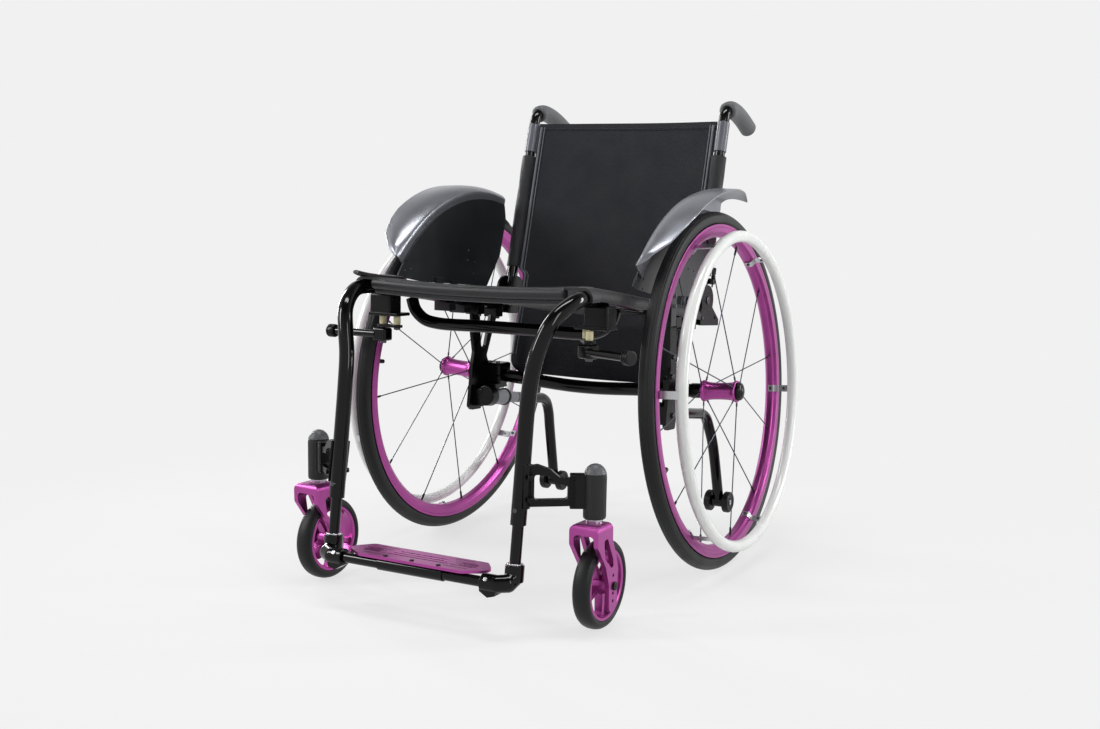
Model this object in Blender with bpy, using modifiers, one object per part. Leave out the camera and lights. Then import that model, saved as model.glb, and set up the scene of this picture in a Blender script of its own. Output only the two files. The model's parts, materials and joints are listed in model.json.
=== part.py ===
"""Rigid-frame active wheelchair with a fold-down back, built piece by piece.

Units are metres, +Z is up and the chair faces -Y. Every point below is written in
the chair's own frame: x is the distance from the middle plane, y the distance
behind the rear axle and z the height above the floor. The empty named wheelchair
moves that frame so that the whole chair stands centred over the origin. Right is
the side with positive x.
"""

import math

import bmesh
import bpy
from mathutils import Matrix, Vector

# Clearances
TOUCH = 0.0003  # gap between two pieces that touch
RUNNING = 0.0003  # radial gap of a sliding or turning fit
SIDE_PLAY = 0.0005  # gap beside a turning piece

# Rear wheels
WHEEL_RADIUS = 0.295
WHEEL_CENTRE_X = 0.2548
CAMBER = math.radians(3.57)
WHEEL_SIDES = 36
TYRE_SECTION_RADIUS = 0.012
TYRE_SECTION_SIDES = 8
RIM_HALF_WIDTH = 0.0112
RIM_LIP = 0.0035  # how far the rim's edge stands up beside the tyre
RIM_DEPTH = 0.021
RIM_BED_HALF_WIDTH = 0.006
PUSH_RING_RADIUS = 0.2533
PUSH_RING_TUBE_RADIUS = 0.0095
PUSH_RING_SECTION_SIDES = 6
PUSH_RING_OFFSET = 0.0435
PUSH_RING_TABS = 6
PUSH_RING_TAB_WIDTH = 0.012
PUSH_RING_TAB_THICKNESS = 0.0025
PUSH_RING_TAB_INSET = 0.01295  # where a tab meets the rim, measured inwards from the rim's edge
PUSH_RING_FIRST_TAB = {"left": math.radians(7), "right": math.radians(25)}

# Hub, spokes and quick-release axle, measured along the axle from the wheel's middle
HUB_INNER_END = -0.0281
HUB_OUTER_END = 0.0336
HUB_FLANGE_RADIUS = 0.018
HUB_FLANGE_WIDTH = 0.0045
HUB_WAIST_RADIUS = 0.014
HUB_SIDES = 14
SPOKE_RADIUS = 0.001
SPOKE_PAIRS_PER_FLANGE = 3
SPOKE_PAIR_SHIFT = math.radians(15)
SPOKE_RIM_SPREAD = math.radians(30)
SPOKE_HUB_SPREAD = math.radians(22)
SPOKE_SIDES = 4
SPOKE_TURN = {"left": math.radians(39), "right": math.radians(53.5)}
SPOKE_HUB_RADIUS = 0.0165
SPOKE_SEAT_RADIUS = 0.0076
HUB_CORE_RADIUS = 0.0085
AXLE_RADIUS = 0.006
AXLE_COLLAR_RADIUS = 0.0125
AXLE_COLLAR_LENGTH = 0.020
AXLE_GRIP_LENGTH = 0.050  # how far the axle reaches into the camber tube
AXLE_HEAD_RADIUS = 0.015
AXLE_HEAD_HEIGHT = 0.0078
BUTTON_RADIUS = 0.0080
BUTTON_TRAVEL = 0.004
BUTTON_PROUD = 0.0025

# Frame tubes
TUBE_RADIUS = 0.0111
TUBE_SIDES = 12
RAIL_X = 0.190
RAIL_REAR_Y = 0.030
RAIL_BEND_Y = -0.300
RAIL_Z = 0.4545  # height of the rail's middle line where its bend starts
RAIL_SLOPE = 0.1245  # fall per metre towards the rear
LEG_X = 0.1555
LEG_TOP = (-0.4494, 0.3323)  # y and z where the straight part of the front leg starts
LEG_SLOPE = 0.123  # forward reach per metre of height
LEG_END_Z = 0.1533
BRACE_Y = -0.250
BRACE_Z = 0.399
BRACE_RADIUS = 0.0098
CAMBER_TUBE_RADIUS = 0.0113
CAMBER_TUBE_BEND_X = 0.060

# Casters
CASTER_X = 0.2405
CASTER_STEM_Y = -0.4106
CASTER_TRAIL = 0.0212
CASTER_RADIUS = 0.0635
CASTER_SIDES = 20
CASTER_TYRE_HALF_WIDTH = 0.0132
CASTER_RIM_RADIUS = 0.0512
CASTER_RIM_THICKNESS = 0.0057
CASTER_RIM_HALF_WIDTH = 0.0115
CASTER_HUB_RADIUS = 0.0135
CASTER_HUB_SPOKES = 5
FORK_GAP = 0.031
FORK_LEG_THICKNESS = 0.007
FORK_CROWN_BOTTOM = 0.143
FORK_CROWN_HEIGHT = 0.0145
CASTER_BOLT_RADIUS = 0.004
STEM_RADIUS = 0.006
STEM_TOP = 0.214
HOUSING_RADIUS = 0.016
HOUSING_BOTTOM = 0.162
HOUSING_TOP = 0.2245
HOUSING_CAP_HEIGHT = 0.0137
HOUSING_SIDES = 14
BRACKET_THICKNESS = 0.012
BRACKET_COLLAR_RADIUS = 0.0152

# Footrest
FOOT_LEG_RADIUS = 0.008
FOOT_LEG_TOP = 0.228
FOOT_RAISE = 0.045
FOOT_TUBE_Y = -0.500
FOOT_TUBE_Z = 0.0755
FOOT_TUBE_RADIUS = 0.0075
FOOT_TUBE_HALF_LENGTH = 0.1297
FOOT_ELBOW_RADIUS = 0.0125
FOOT_ELBOW_X = 0.118
FOOT_COLLAR_RADIUS = 0.0135
FOOT_COLLAR_HEIGHT = 0.038
FOOT_COLLAR_TOP = 0.100
SLEEVE_RADIUS = 0.0092
SLEEVE_HALF_LENGTH = 0.0555
FOOTPLATE_HALF_LENGTH = 0.1165
FOOTPLATE_THICKNESS = 0.004
FOOTPLATE_FRONT_Y = -0.5080
FOOTPLATE_REAR_Y = -0.4540
FOOTPLATE_FRONT_CORNER = (0.030, 0.018)
FOOTPLATE_REAR_CORNER = (0.018, 0.022)

# Back
PIVOT_Y = 0.061
PIVOT_Z = 0.440
RECLINE = math.atan(0.256)
POST_RADIUS = 0.0095
POST_BELOW_PIVOT = 0.013
POST_STRAIGHT = 0.308
POST_SLEEVE_RADIUS = 0.011
POST_SLEEVE_START = 0.261
HANDLE_TIP = (0.258, 0.7445)
GRIP_RADIUS = 0.015
HINGE_PIN_RADIUS = 0.004
CHEEK_THICKNESS = 0.0042
CHEEK_ARC_RADIUS = 0.0255
SLING_POCKET_RADIUS = 0.0135
SLING_POCKET_START = 0.044
SLING_POCKET_END = 0.252
SLING_HALF_WIDTH = 0.178
SLING_FLAP_HALF_WIDTH = 0.167
SLING_TOP = 0.315
SLING_BOTTOM = -0.151
SLING_THICKNESS = 0.004
SLING_SAG = 0.014
LOCK_X = 0.2045
LOCK_BACK = 0.010
LOCK_PIN_RADIUS = 0.0015
LOCK_KNOB_RADIUS = 0.0037
LOCK_KNOB_LENGTH = 0.0195

# Seat sling
SEAT_FRONT_Y = -0.365
SEAT_REAR_Y = 0.028
SEAT_THICKNESS = 0.003
SEAT_SAG = 0.022
SEAT_FRONT_SAG = 0.004
SEAT_SAG_Y = -0.245  # the sling hangs evenly from here to the rear
SEAT_ROLL_RADIUS = 0.0085
SEAT_ROLL_SAGGING = 0.150  # half of the front roll's sagging length

# Side guards
GUARD_X = 0.210
GUARD_THICKNESS = 0.003
GUARD_INSET = 0.0165  # how far the panel's edge lies inside the fender's
FENDER_GAP = 0.0295
FENDER_THICKNESS = 0.0025
FENDER_FLANGE_DEPTH = 0.028

# Axle mounts and anti-tip arms
MOUNT_PLATE_X = 0.1905
MOUNT_PLATE_THICKNESS = 0.006
CLAMP_X = 0.1768
CLAMP_WIDTH = 0.0335
CLAMP_DEPTH = 0.040
SOCKET_X = 0.1655
SOCKET_RING_STEP = 0.0013
SOCKET_RING_WIDTH = 0.004
SOCKET_DROP = 0.0449  # how far the anti-tip socket lies below the rear axle
SOCKET_FALL = math.radians(7.76)
SOCKET_RADIUS = 0.0145
SOCKET_LENGTH = 0.006
SOCKET_SIDES = 14
SOCKET_FRONT = 0.045
SOCKET_WALL = 0.004
ARM_RADIUS = 0.00975
ARM_STRAIGHT = 0.145
ARM_BOW = ((0.0541, 0.0011, 0.0144), (0.1722, 0.0015, 0.0188), (0.3508, 0.0029, 0.0176))
ANTI_TIP_AXLE = (0.1773, 0.2165, 0.0563)
ANTI_TIP_RADIUS = 0.0195
ANTI_TIP_WIDTH = 0.012
ANTI_TIP_SPACING = 0.0362
ANTI_TIP_BOLT_RADIUS = 0.004

# Brakes
BRAKE_AHEAD = 0.015  # how far the pivots lie in front of the tyre
BRAKE_PIVOT_X = 0.168
BRAKE_LINK_LENGTH = 0.027
BRAKE_LINK_Z = 0.3955
BRAKE_LINK_THICKNESS = 0.004
BRAKE_LINK_END_RADIUS = 0.0085
BRAKE_LINK_HALF_WIDTH = 0.0078
BRAKE_CLAMP_HALF_WIDTH = 0.0195
BUSHING_RADIUS = 0.0055
BUSHING_HEIGHT = 0.0145
BUSHING_SIDES = 7
BRAKE_PIN_RADIUS = 0.003
BRAKE_BAR_AHEAD = 0.008
BRAKE_BAR_Z = 0.382
BRAKE_BAR_RADIUS = 0.006
BRAKE_BAR_END_X = 0.283
BRAKE_KNOB_RADIUS = 0.0105
BRAKE_KNOB_LENGTH = 0.0125
BRAKE_LINK_TURN = {"left": 0.0, "right": math.radians(-52)}  # as photographed
BRAKE_BAR_RATIO = -0.571  # turn of the bar on its link for each turn of the link

# Values worked out from the driving dimensions
AXLE_Z = WHEEL_RADIUS * math.cos(CAMBER)
TYRE_RING_RADIUS = WHEEL_RADIUS - TYRE_SECTION_RADIUS
RIM_RADIUS = TYRE_RING_RADIUS - TYRE_SECTION_RADIUS + RIM_LIP
RIM_BED_RADIUS = RIM_RADIUS - RIM_DEPTH
FENDER_RADIUS = WHEEL_RADIUS + FENDER_GAP
GUARD_RADIUS = FENDER_RADIUS - GUARD_INSET
SOCKET_Z = AXLE_Z - SOCKET_DROP
BRAKE_Y = -WHEEL_RADIUS - BRAKE_AHEAD
BRAKE_BAR_Y = BRAKE_Y - BRAKE_BAR_AHEAD
HINGE_FRONT_Y = RAIL_REAR_Y + TUBE_RADIUS * RAIL_SLOPE + TOUCH
AXLE_TO_MIDDLE = (FOOT_ELBOW_RADIUS - FOOT_TUBE_Y - WHEEL_RADIUS) / 2
CASTER_WHEEL_Y = CASTER_STEM_Y + CASTER_TRAIL
SIDES = (("left", -1), ("right", 1))

MODEL = None
CUTTERS = None


def clear_scene():
    """Removes every object and makes the two collections."""
    global MODEL, CUTTERS
    for item in list(bpy.data.objects):
        bpy.data.objects.remove(item, do_unlink=True)
    MODEL = bpy.data.collections.new("wheelchair")
    CUTTERS = bpy.data.collections.new("cutters")
    for collection in (MODEL, CUTTERS):
        bpy.context.scene.collection.children.link(collection)


def linear(channel):
    """One sRGB channel from 0 to 255 as linear light."""
    value = channel / 255
    return value / 12.92 if value <= 0.04045 else ((value + 0.055) / 1.055) ** 2.4


def finish(name, colour, roughness, metallic=0.0):
    """A plain Principled material of an sRGB hex colour."""
    material = bpy.data.materials.get(name) or bpy.data.materials.new(name)
    material.use_nodes = True
    shader = material.node_tree.nodes["Principled BSDF"]
    channels = [linear(int(colour[i : i + 2], 16)) for i in (0, 2, 4)]
    shader.inputs["Base Color"].default_value = (*channels, 1)
    shader.inputs["Roughness"].default_value = roughness
    shader.inputs["Metallic"].default_value = metallic
    return material


def shape(mesh):
    """A working object that holds a mesh, kept with the cutters until it is used."""
    item = bpy.data.objects.new("shape", mesh)
    CUTTERS.objects.link(item)
    item.hide_render = True
    item.display_type = "WIRE"
    return item


def shape_from_bmesh(bm):
    """A working object from a bmesh, with its faces turned outwards."""
    bmesh.ops.recalc_face_normals(bm, faces=bm.faces)
    mesh = bpy.data.meshes.new("shape")
    bm.to_mesh(mesh)
    bm.free()
    return shape(mesh)


def weld(mesh):
    """Merges the corners of a mesh that fall on each other."""
    bm = bmesh.new()
    bm.from_mesh(mesh)
    bmesh.ops.remove_doubles(bm, verts=bm.verts, dist=0.000002)
    bm.to_mesh(mesh)
    bm.free()


def baked(item):
    """Replaces an object's mesh or curve by its evaluated, welded mesh."""
    bpy.context.view_layer.update()
    evaluated = item.evaluated_get(bpy.context.evaluated_depsgraph_get())
    mesh = bpy.data.meshes.new_from_object(evaluated)
    mesh.transform(item.matrix_world)
    bpy.data.objects.remove(item, do_unlink=True)
    bm = bmesh.new()
    bm.from_mesh(mesh)
    bmesh.ops.remove_doubles(bm, verts=bm.verts, dist=0.000002)
    bpy.data.meshes.remove(mesh)
    return shape_from_bmesh(bm)


def box(low, high, bevel=0.0):
    """A box between two corners, with its edges rounded by bevel."""
    low, high = Vector(low), Vector(high)
    bm = bmesh.new()
    bmesh.ops.create_cube(bm, size=1.0)
    size = high - low
    scale = Matrix.Diagonal((abs(size.x), abs(size.y), abs(size.z), 1))
    bmesh.ops.transform(bm, matrix=Matrix.Translation((low + high) / 2) @ scale, verts=bm.verts)
    if bevel:
        bmesh.ops.bevel(bm, geom=bm.edges[:], offset=bevel, segments=1, affect="EDGES", profile=0.5)
    return shape_from_bmesh(bm)


def rod(start, end, radius, sides=TUBE_SIDES, end_radius=None):
    """A cylinder, or a cone, from one point to another."""
    start, end = Vector(start), Vector(end)
    axis = end - start
    bm = bmesh.new()
    bmesh.ops.create_cone(
        bm,
        cap_ends=True,
        segments=sides,
        radius1=radius,
        radius2=radius if end_radius is None else end_radius,
        depth=axis.length,
    )
    turn = axis.to_track_quat("Z", "Y").to_matrix().to_4x4()
    bmesh.ops.transform(bm, matrix=Matrix.Translation((start + end) / 2) @ turn, verts=bm.verts)
    return shape_from_bmesh(bm)


def around(radius, sides):
    """Radius of the corners of a polygon whose flat sides lie at a radius."""
    return radius / math.cos(math.pi / sides)


def bore(start, end, radius, sides=TUBE_SIDES):
    """A cutter whose flat sides, and not its corners, lie at the radius."""
    return rod(start, end, around(radius, sides), sides)


def sweep(points, radius, sides=TUBE_SIDES):
    """A round bar along a list of points."""
    curve = bpy.data.curves.new("path", "CURVE")
    curve.dimensions = "3D"
    curve.bevel_depth = radius
    curve.bevel_resolution = (sides - 4) // 2
    curve.use_fill_caps = True
    spline = curve.splines.new("POLY")
    spline.points.add(len(points) - 1)
    for target, point in zip(spline.points, points):
        target.co = (*point, 1)
    return baked(shape(curve))


# Each matrix turns a flat outline's two axes and its normal to the chair's axes
YZ_PLANE = Matrix(((0, 0, 1, 0), (1, 0, 0, 0), (0, 1, 0, 0), (0, 0, 0, 1)))
XZ_PLANE = Matrix(((1, 0, 0, 0), (0, 0, -1, 0), (0, 1, 0, 0), (0, 0, 0, 1)))
XY_PLANE = Matrix.Identity(4)


def plate(outline, thickness, middle, plane=YZ_PLANE, holes=()):
    """A flat outline with holes, given a thickness about the point middle of its normal."""
    curve = bpy.data.curves.new("outline", "CURVE")
    curve.dimensions = "2D"
    curve.fill_mode = "BOTH"
    curve.extrude = thickness / 2
    for loop in (outline, *holes):
        spline = curve.splines.new("POLY")
        spline.points.add(len(loop) - 1)
        spline.use_cyclic_u = True
        for target, point in zip(spline.points, loop):
            target.co = (*point, 0, 1)
    item = shape(curve)
    item.matrix_world = plane @ Matrix.Translation((0, 0, middle))
    return baked(item)


def turned(profile, sides, closed=True, true_flats=False):
    """A profile of radius and height pairs, turned about the z axis.

    With true_flats the flat sides, and not the corners, lie at the given radii,
    and one flat faces each way along x and y.
    """
    grow = around(1, sides) if true_flats else 1
    mesh = bpy.data.meshes.new("profile")
    count = len(profile)
    edges = [(i, (i + 1) % count) for i in range(count if closed else count - 1)]
    mesh.from_pydata([(radius * grow, 0, height) for radius, height in profile], edges, [])
    item = shape(mesh)
    screw = item.modifiers.new("turn", "SCREW")
    screw.steps = sides
    screw.render_steps = sides
    screw.use_merge_vertices = True
    screw.merge_threshold = 0.00001
    item.rotation_euler.z = math.pi / sides
    return baked(item)


def boolean(base, tools, operation):
    """Joins, cuts or intersects base with each tool, and removes the tools."""
    for tool in tools:
        modifier = base.modifiers.new(operation.lower(), "BOOLEAN")
        modifier.operation = operation
        modifier.object = tool
    bpy.context.view_layer.update()
    evaluated = base.evaluated_get(bpy.context.evaluated_depsgraph_get())
    mesh = bpy.data.meshes.new_from_object(evaluated)
    base.modifiers.clear()
    weld(mesh)
    base.data = mesh
    for tool in tools:
        bpy.data.objects.remove(tool, do_unlink=True)
    return base


def union(base, *tools):
    return boolean(base, tools, "UNION")


def cut(base, *tools):
    return boolean(base, tools, "DIFFERENCE")


class Joint:
    """An empty on a joint's axis, with its place in the chair's frame."""

    def __init__(self, name, place, parent=None):
        self.place = Vector(place)
        self.empty = bpy.data.objects.new(name, None)
        MODEL.objects.link(self.empty)
        if parent:
            self.empty.parent = parent.empty
            self.empty.location = self.place - parent.place
        else:
            self.empty.location = (0, AXLE_TO_MIDDLE, 0)


def settle(item, name, material, joint, matrix=None):
    """Names a finished shape and hangs it on its joint.

    A shape made in the chair's frame gets its mesh about the joint's own place. A
    shape made in a frame of its own is placed by matrix, relative to the joint.
    """
    CUTTERS.objects.unlink(item)
    MODEL.objects.link(item)
    item.name = name
    item.data.name = name
    item.hide_render = False
    item.display_type = "TEXTURED"
    if matrix is None:
        item.data.transform(Matrix.Translation(-joint.place))
    item.parent = joint.empty
    if matrix is not None:
        item.matrix_basis = matrix
    item.data.materials.clear()
    item.data.materials.append(material)
    item.data.shade_smooth()
    item.data.set_sharp_from_angle(angle=math.radians(40))
    return item


# Places on the frame that several pieces share
def rail_point(y):
    """A point on the right rail's middle line, also where it starts to bend."""
    path = side_frame_path(1)
    for rear, front in zip(path, path[1:]):
        if front.y <= y <= rear.y:
            return rear.lerp(front, (rear.y - y) / (rear.y - front.y))
    return path[0]


def rail_z(y):
    """Height of the rail's middle line at a distance behind the rear axle."""
    return RAIL_Z - RAIL_SLOPE * (y - RAIL_BEND_Y)


def leg_point(side, z):
    """A point on the middle line of a front leg."""
    top_y, top_z = LEG_TOP
    return Vector((side * LEG_X, top_y - LEG_SLOPE * (top_z - z), z))


def axle_point(side, along):
    """A point on a rear wheel's axis, measured outwards from the wheel's middle."""
    x = WHEEL_CENTRE_X + along * math.cos(CAMBER)
    return Vector((side * x, 0, AXLE_Z + along * math.sin(CAMBER)))


def wheel_matrix(side):
    """A rear wheel's frame: x up in the wheel's plane and z outwards along its axis."""
    up = Vector((-side * math.sin(CAMBER), 0, math.cos(CAMBER)))
    out = Vector((side * math.cos(CAMBER), 0, math.sin(CAMBER)))
    return Matrix((up, out.cross(up), out)).transposed().to_4x4()


def back_point(x, back, up):
    """A point by its distance behind the post's middle line and up it from the pivot."""
    y = PIVOT_Y + up * math.sin(RECLINE) + back * math.cos(RECLINE)
    z = PIVOT_Z + up * math.cos(RECLINE) - back * math.sin(RECLINE)
    return Vector((x, y, z))


def back_matrix():
    """The back's frame: x across, y up the posts and z forwards out of the back."""
    origin = back_point(0, 0, 0)
    up = back_point(0, 0, 1) - origin
    front = back_point(0, -1, 0) - origin
    turn = Matrix((Vector((1, 0, 0)), up, front)).transposed().to_4x4()
    return Matrix.Translation(origin) @ turn


def rail_cutter(side):
    """The bent side tube, fatter by the gap that touching pieces keep."""
    return sweep(side_frame_path(side), around(TUBE_RADIUS + TOUCH, TUBE_SIDES))


# The welded frame
def side_frame_path(side):
    """Middle line of the bent tube that is seat rail and front leg in one."""
    rear = (RAIL_X, RAIL_REAR_Y, rail_z(RAIL_REAR_Y))
    middle = (RAIL_X, -0.160, rail_z(-0.160))
    bend = [
        (RAIL_X, RAIL_BEND_Y, rail_z(RAIL_BEND_Y)),
        (0.1905, -0.345, 0.4585),
        (0.1895, -0.384, 0.4550),
        (0.1765, -0.4230, 0.4300),
        (0.1655, -0.4371, 0.3972),
        (0.1585, -0.4435, 0.3644),
        tuple(leg_point(1, 0.3200)),
    ]
    path = [Vector(point) for point in (rear, middle, *bend)] + [leg_point(1, LEG_END_Z)]
    return [Vector((side * point.x, point.y, point.z)) for point in path]


def build_frame(root, black):
    """Both side tubes, the brace under the seat and the bent camber tube."""
    for label, side in SIDES:
        tube = sweep(side_frame_path(side), TUBE_RADIUS)
        leg_bore = bore(
            leg_point(side, LEG_END_Z - 0.010),
            leg_point(side, FOOT_LEG_TOP + FOOT_RAISE + 0.010),
            FOOT_LEG_RADIUS + RUNNING,
        )
        spigot_bore = bore(
            (side * RAIL_X, RAIL_REAR_Y - 0.030, rail_z(RAIL_REAR_Y - 0.030)),
            (side * RAIL_X, RAIL_REAR_Y + 0.010, rail_z(RAIL_REAR_Y + 0.010)),
            FOOT_LEG_RADIUS + RUNNING,
        )
        settle(cut(tube, leg_bore, spigot_bore), f"side_frame_{label}", black, root)

    half = [
        (0.050, BRACE_Y, BRACE_Z),
        (0.135, BRACE_Y, BRACE_Z),
        (0.160, BRACE_Y, BRACE_Z + 0.0055),
        (0.177, BRACE_Y, BRACE_Z + 0.020),
        (0.1845, BRACE_Y, BRACE_Z + 0.0385),
    ]
    left = [(-x, y, z) for x, y, z in reversed(half)]
    brace = sweep(left + half, BRACE_RADIUS, 10)
    settle(cut(brace, rail_cutter(-1), rail_cutter(1)), "seat_brace", black, root)

    outer = HUB_INNER_END - AXLE_COLLAR_LENGTH - TOUCH
    end = axle_point(1, outer)
    bend_z = end.z - (end.x - CAMBER_TUBE_BEND_X) * math.tan(CAMBER)
    half = [end, Vector((CAMBER_TUBE_BEND_X, 0, bend_z)), Vector((0.030, 0, bend_z - 0.0014))]
    left = [Vector((-point.x, 0, point.z)) for point in half]
    middle = [Vector((0, 0, bend_z - 0.0018))]
    tube = sweep(left + middle + half[::-1], CAMBER_TUBE_RADIUS)
    bores = [
        bore(axle_point(side, outer + 0.005), axle_point(side, outer - AXLE_GRIP_LENGTH - 0.002),
             AXLE_RADIUS + RUNNING)
        for _, side in SIDES
    ]
    settle(cut(tube, *bores), "camber_tube", black, root)


def clamp_z(x):
    """Height of the camber tube's middle line under a clamp at x."""
    return AXLE_Z - (WHEEL_CENTRE_X - x) * math.tan(CAMBER)


def socket_matrix(side):
    """The anti-tip socket's frame: z runs to the rear along its bore."""
    place = Matrix.Translation((side * SOCKET_X, 0, SOCKET_Z))
    return place @ Matrix.Rotation(-math.pi / 2 - SOCKET_FALL, 4, "X")


def build_axle_mount(root, label, side, black):
    """Plate, clamp and saddles that hang the camber tube under one rail."""
    saddles = (-0.056, 0.004)
    upper = [
        (-0.0665, -0.0604), (-0.0680, -0.0212), (-0.0440, -0.0182), (-0.0385, -0.0785),
        (-0.0310, -0.0846), (-0.0240, -0.0768), (-0.0070, -0.0200), (0.0140, -0.0174),
        (-0.0045, -0.0577),
    ]
    lower = [
        (-0.0200, 0.0306), (-0.0150, 0.0196), (0.0150, 0.0176), (0.0150, -0.0184),
        (-0.0280, -0.0224), (-0.0370, -0.0644), (-0.0660, -0.0634), (-0.0750, -0.0564),
        (-0.0680, -0.0074), (-0.0650, 0.0196), (-0.0600, 0.0406),
    ]
    outline = [(y, rail_z(y) + height) for y, height in upper]
    outline += [(y, AXLE_Z + height) for y, height in lower]
    mount = plate(outline, MOUNT_PLATE_THICKNESS, side * MOUNT_PLATE_X)
    pieces = []
    for y in saddles:
        low = (side * (RAIL_X - 0.0135), y - 0.011, rail_z(y) - 0.0235)
        high = (side * (RAIL_X + 0.0135), y + 0.011, rail_z(y) - 0.0065)
        pieces.append(box(low, high))
    tube_z = clamp_z(CLAMP_X)
    half = CLAMP_WIDTH / 2
    pieces.append(
        box(
            (side * (CLAMP_X - half), -CLAMP_DEPTH / 2, tube_z - 0.0155),
            (side * (CLAMP_X + half), CLAMP_DEPTH / 2, tube_z + 0.022),
            0.002,
        )
    )
    pieces.append(
        box(
            (side * (SOCKET_X - SOCKET_RADIUS - 0.003), -0.062, SOCKET_Z - SOCKET_RADIUS - 0.005),
            (side * (MOUNT_PLATE_X - 0.001), -0.026, SOCKET_Z + SOCKET_RADIUS + 0.007),
            0.002,
        )
    )
    pieces.append(
        box(
            (side * (SOCKET_X - 0.002), -0.028, SOCKET_Z + 0.0165),
            (side * (MOUNT_PLATE_X - 0.001), 0.012, tube_z - 0.0135),
        )
    )
    mount = union(mount, *pieces)
    tube_bore = bore(
        (side * (CLAMP_X - 0.03), 0, clamp_z(CLAMP_X - 0.03)),
        (side * (CLAMP_X + 0.03), 0, clamp_z(CLAMP_X + 0.03)),
        CAMBER_TUBE_RADIUS + TOUCH,
    )
    frame = socket_matrix(side)
    cap = SOCKET_FRONT + TOUCH
    socket_bore = bore(
        frame @ Vector((0, 0, -cap)), frame @ Vector((0, 0, 0.05)), SOCKET_RADIUS + TOUCH,
        SOCKET_SIDES,
    )
    cut(mount, rail_cutter(side), tube_bore, socket_bore)
    settle(mount, f"axle_mount_{label}", black, root)


def build_anti_tip(root, label, side, black, grey, rubber):
    """Socket, swinging arm and twin wheels behind one rear wheel."""
    front = SOCKET_FRONT
    floor = SOCKET_WALL - SOCKET_FRONT
    inside = around(ARM_RADIUS + RUNNING, SOCKET_SIDES)
    ring_radius = SOCKET_RADIUS + SOCKET_RING_STEP
    ring_start = SOCKET_LENGTH - SOCKET_RING_WIDTH
    profile = [
        (0, -front), (SOCKET_RADIUS, -front), (SOCKET_RADIUS, ring_start),
        (ring_radius, ring_start), (ring_radius, SOCKET_LENGTH), (inside, SOCKET_LENGTH),
        (inside, floor), (0, floor),
    ]
    frame = socket_matrix(side)
    socket = turned(profile, SOCKET_SIDES, closed=False)
    socket.data.transform(frame)
    settle(socket, f"anti_tip_socket_{label}", grey, root)

    swing = Joint(f"anti_tip_swing_{label}", frame.translation, root)
    axle = Vector((side * ANTI_TIP_AXLE[0], ANTI_TIP_AXLE[1], ANTI_TIP_AXLE[2]))
    bend = [frame @ Vector((0, 0, along)) for along in (ARM_STRAIGHT - 0.017, ARM_STRAIGHT)]
    lower = [
        bend[-1].lerp(axle, share) + Vector((side * out, back, 0)) for share, out, back in ARM_BOW
    ]
    foot = axle + (lower[-1] - axle) * 0.06
    path = [frame @ Vector((0, 0, floor + RUNNING))] + bend + lower + [foot]
    arm = sweep(path, ARM_RADIUS)
    half_boss = ANTI_TIP_SPACING / 2 - ANTI_TIP_WIDTH / 2 - TOUCH
    across = Vector((half_boss, 0, 0))
    union(arm, rod(axle - across, axle + across, 0.0105))
    cut(arm, bore(axle - 2 * across, axle + 2 * across, ANTI_TIP_BOLT_RADIUS + RUNNING))
    settle(arm, f"anti_tip_arm_{label}", black, swing)

    spin = Joint(f"anti_tip_spin_{label}", axle, swing)
    middle = ANTI_TIP_SPACING / 2
    near = middle - ANTI_TIP_WIDTH / 2
    far = middle + ANTI_TIP_WIDTH / 2
    edge = ANTI_TIP_RADIUS - 0.002
    half = [
        (0, far), (edge, far), (ANTI_TIP_RADIUS, near + 0.007), (ANTI_TIP_RADIUS, near),
        (ANTI_TIP_BOLT_RADIUS, near),
    ]
    profile = half + [(radius, -height) for radius, height in reversed(half)]
    wheels = turned(profile, SOCKET_SIDES, closed=False)
    settle(wheels, f"anti_tip_wheels_{label}", rubber, spin, Matrix.Rotation(math.pi / 2, 4, "Y"))


# Rear wheels
def tyre_profile():
    """A round section whose first corner touches the floor."""
    step = 2 * math.pi / TYRE_SECTION_SIDES
    return [
        (
            TYRE_RING_RADIUS + TYRE_SECTION_RADIUS * math.cos(i * step),
            TYRE_SECTION_RADIUS * math.sin(i * step),
        )
        for i in range(TYRE_SECTION_SIDES)
    ]


def rim_profile():
    """A deep rim with a channel that follows the tyre."""
    half = [
        (TYRE_RING_RADIUS - TYRE_SECTION_RADIUS - TOUCH, 0.0050),
        (RIM_RADIUS, RIM_HALF_WIDTH),
        (RIM_RADIUS - 0.0145, RIM_HALF_WIDTH),
        (RIM_BED_RADIUS, RIM_BED_HALF_WIDTH),
    ]
    return half + [(radius, -height) for radius, height in reversed(half)]


def spoke_lines(label):
    """Hub point and rim point of each spoke in the wheel's frame, with its flange's height."""
    lines = []
    pitch = 2 * math.pi / SPOKE_PAIRS_PER_FLANGE
    for flange, end in ((1, HUB_INNER_END), (-1, HUB_OUTER_END)):
        height = end + flange * HUB_FLANGE_WIDTH / 2
        for pair in range(SPOKE_PAIRS_PER_FLANGE):
            middle = flange * SPOKE_PAIR_SHIFT + pair * pitch + SPOKE_TURN[label]
            for hand in (-1, 1):
                at_hub = middle + hand * SPOKE_HUB_SPREAD
                at_rim = middle + hand * SPOKE_RIM_SPREAD
                hub = Vector((
                    SPOKE_HUB_RADIUS * math.cos(at_hub), SPOKE_HUB_RADIUS * math.sin(at_hub), height
                ))
                reach = RIM_BED_RADIUS - TOUCH
                rim = Vector((reach * math.cos(at_rim), reach * math.sin(at_rim), 0))
                lines.append((hub, rim))
    return lines


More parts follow.
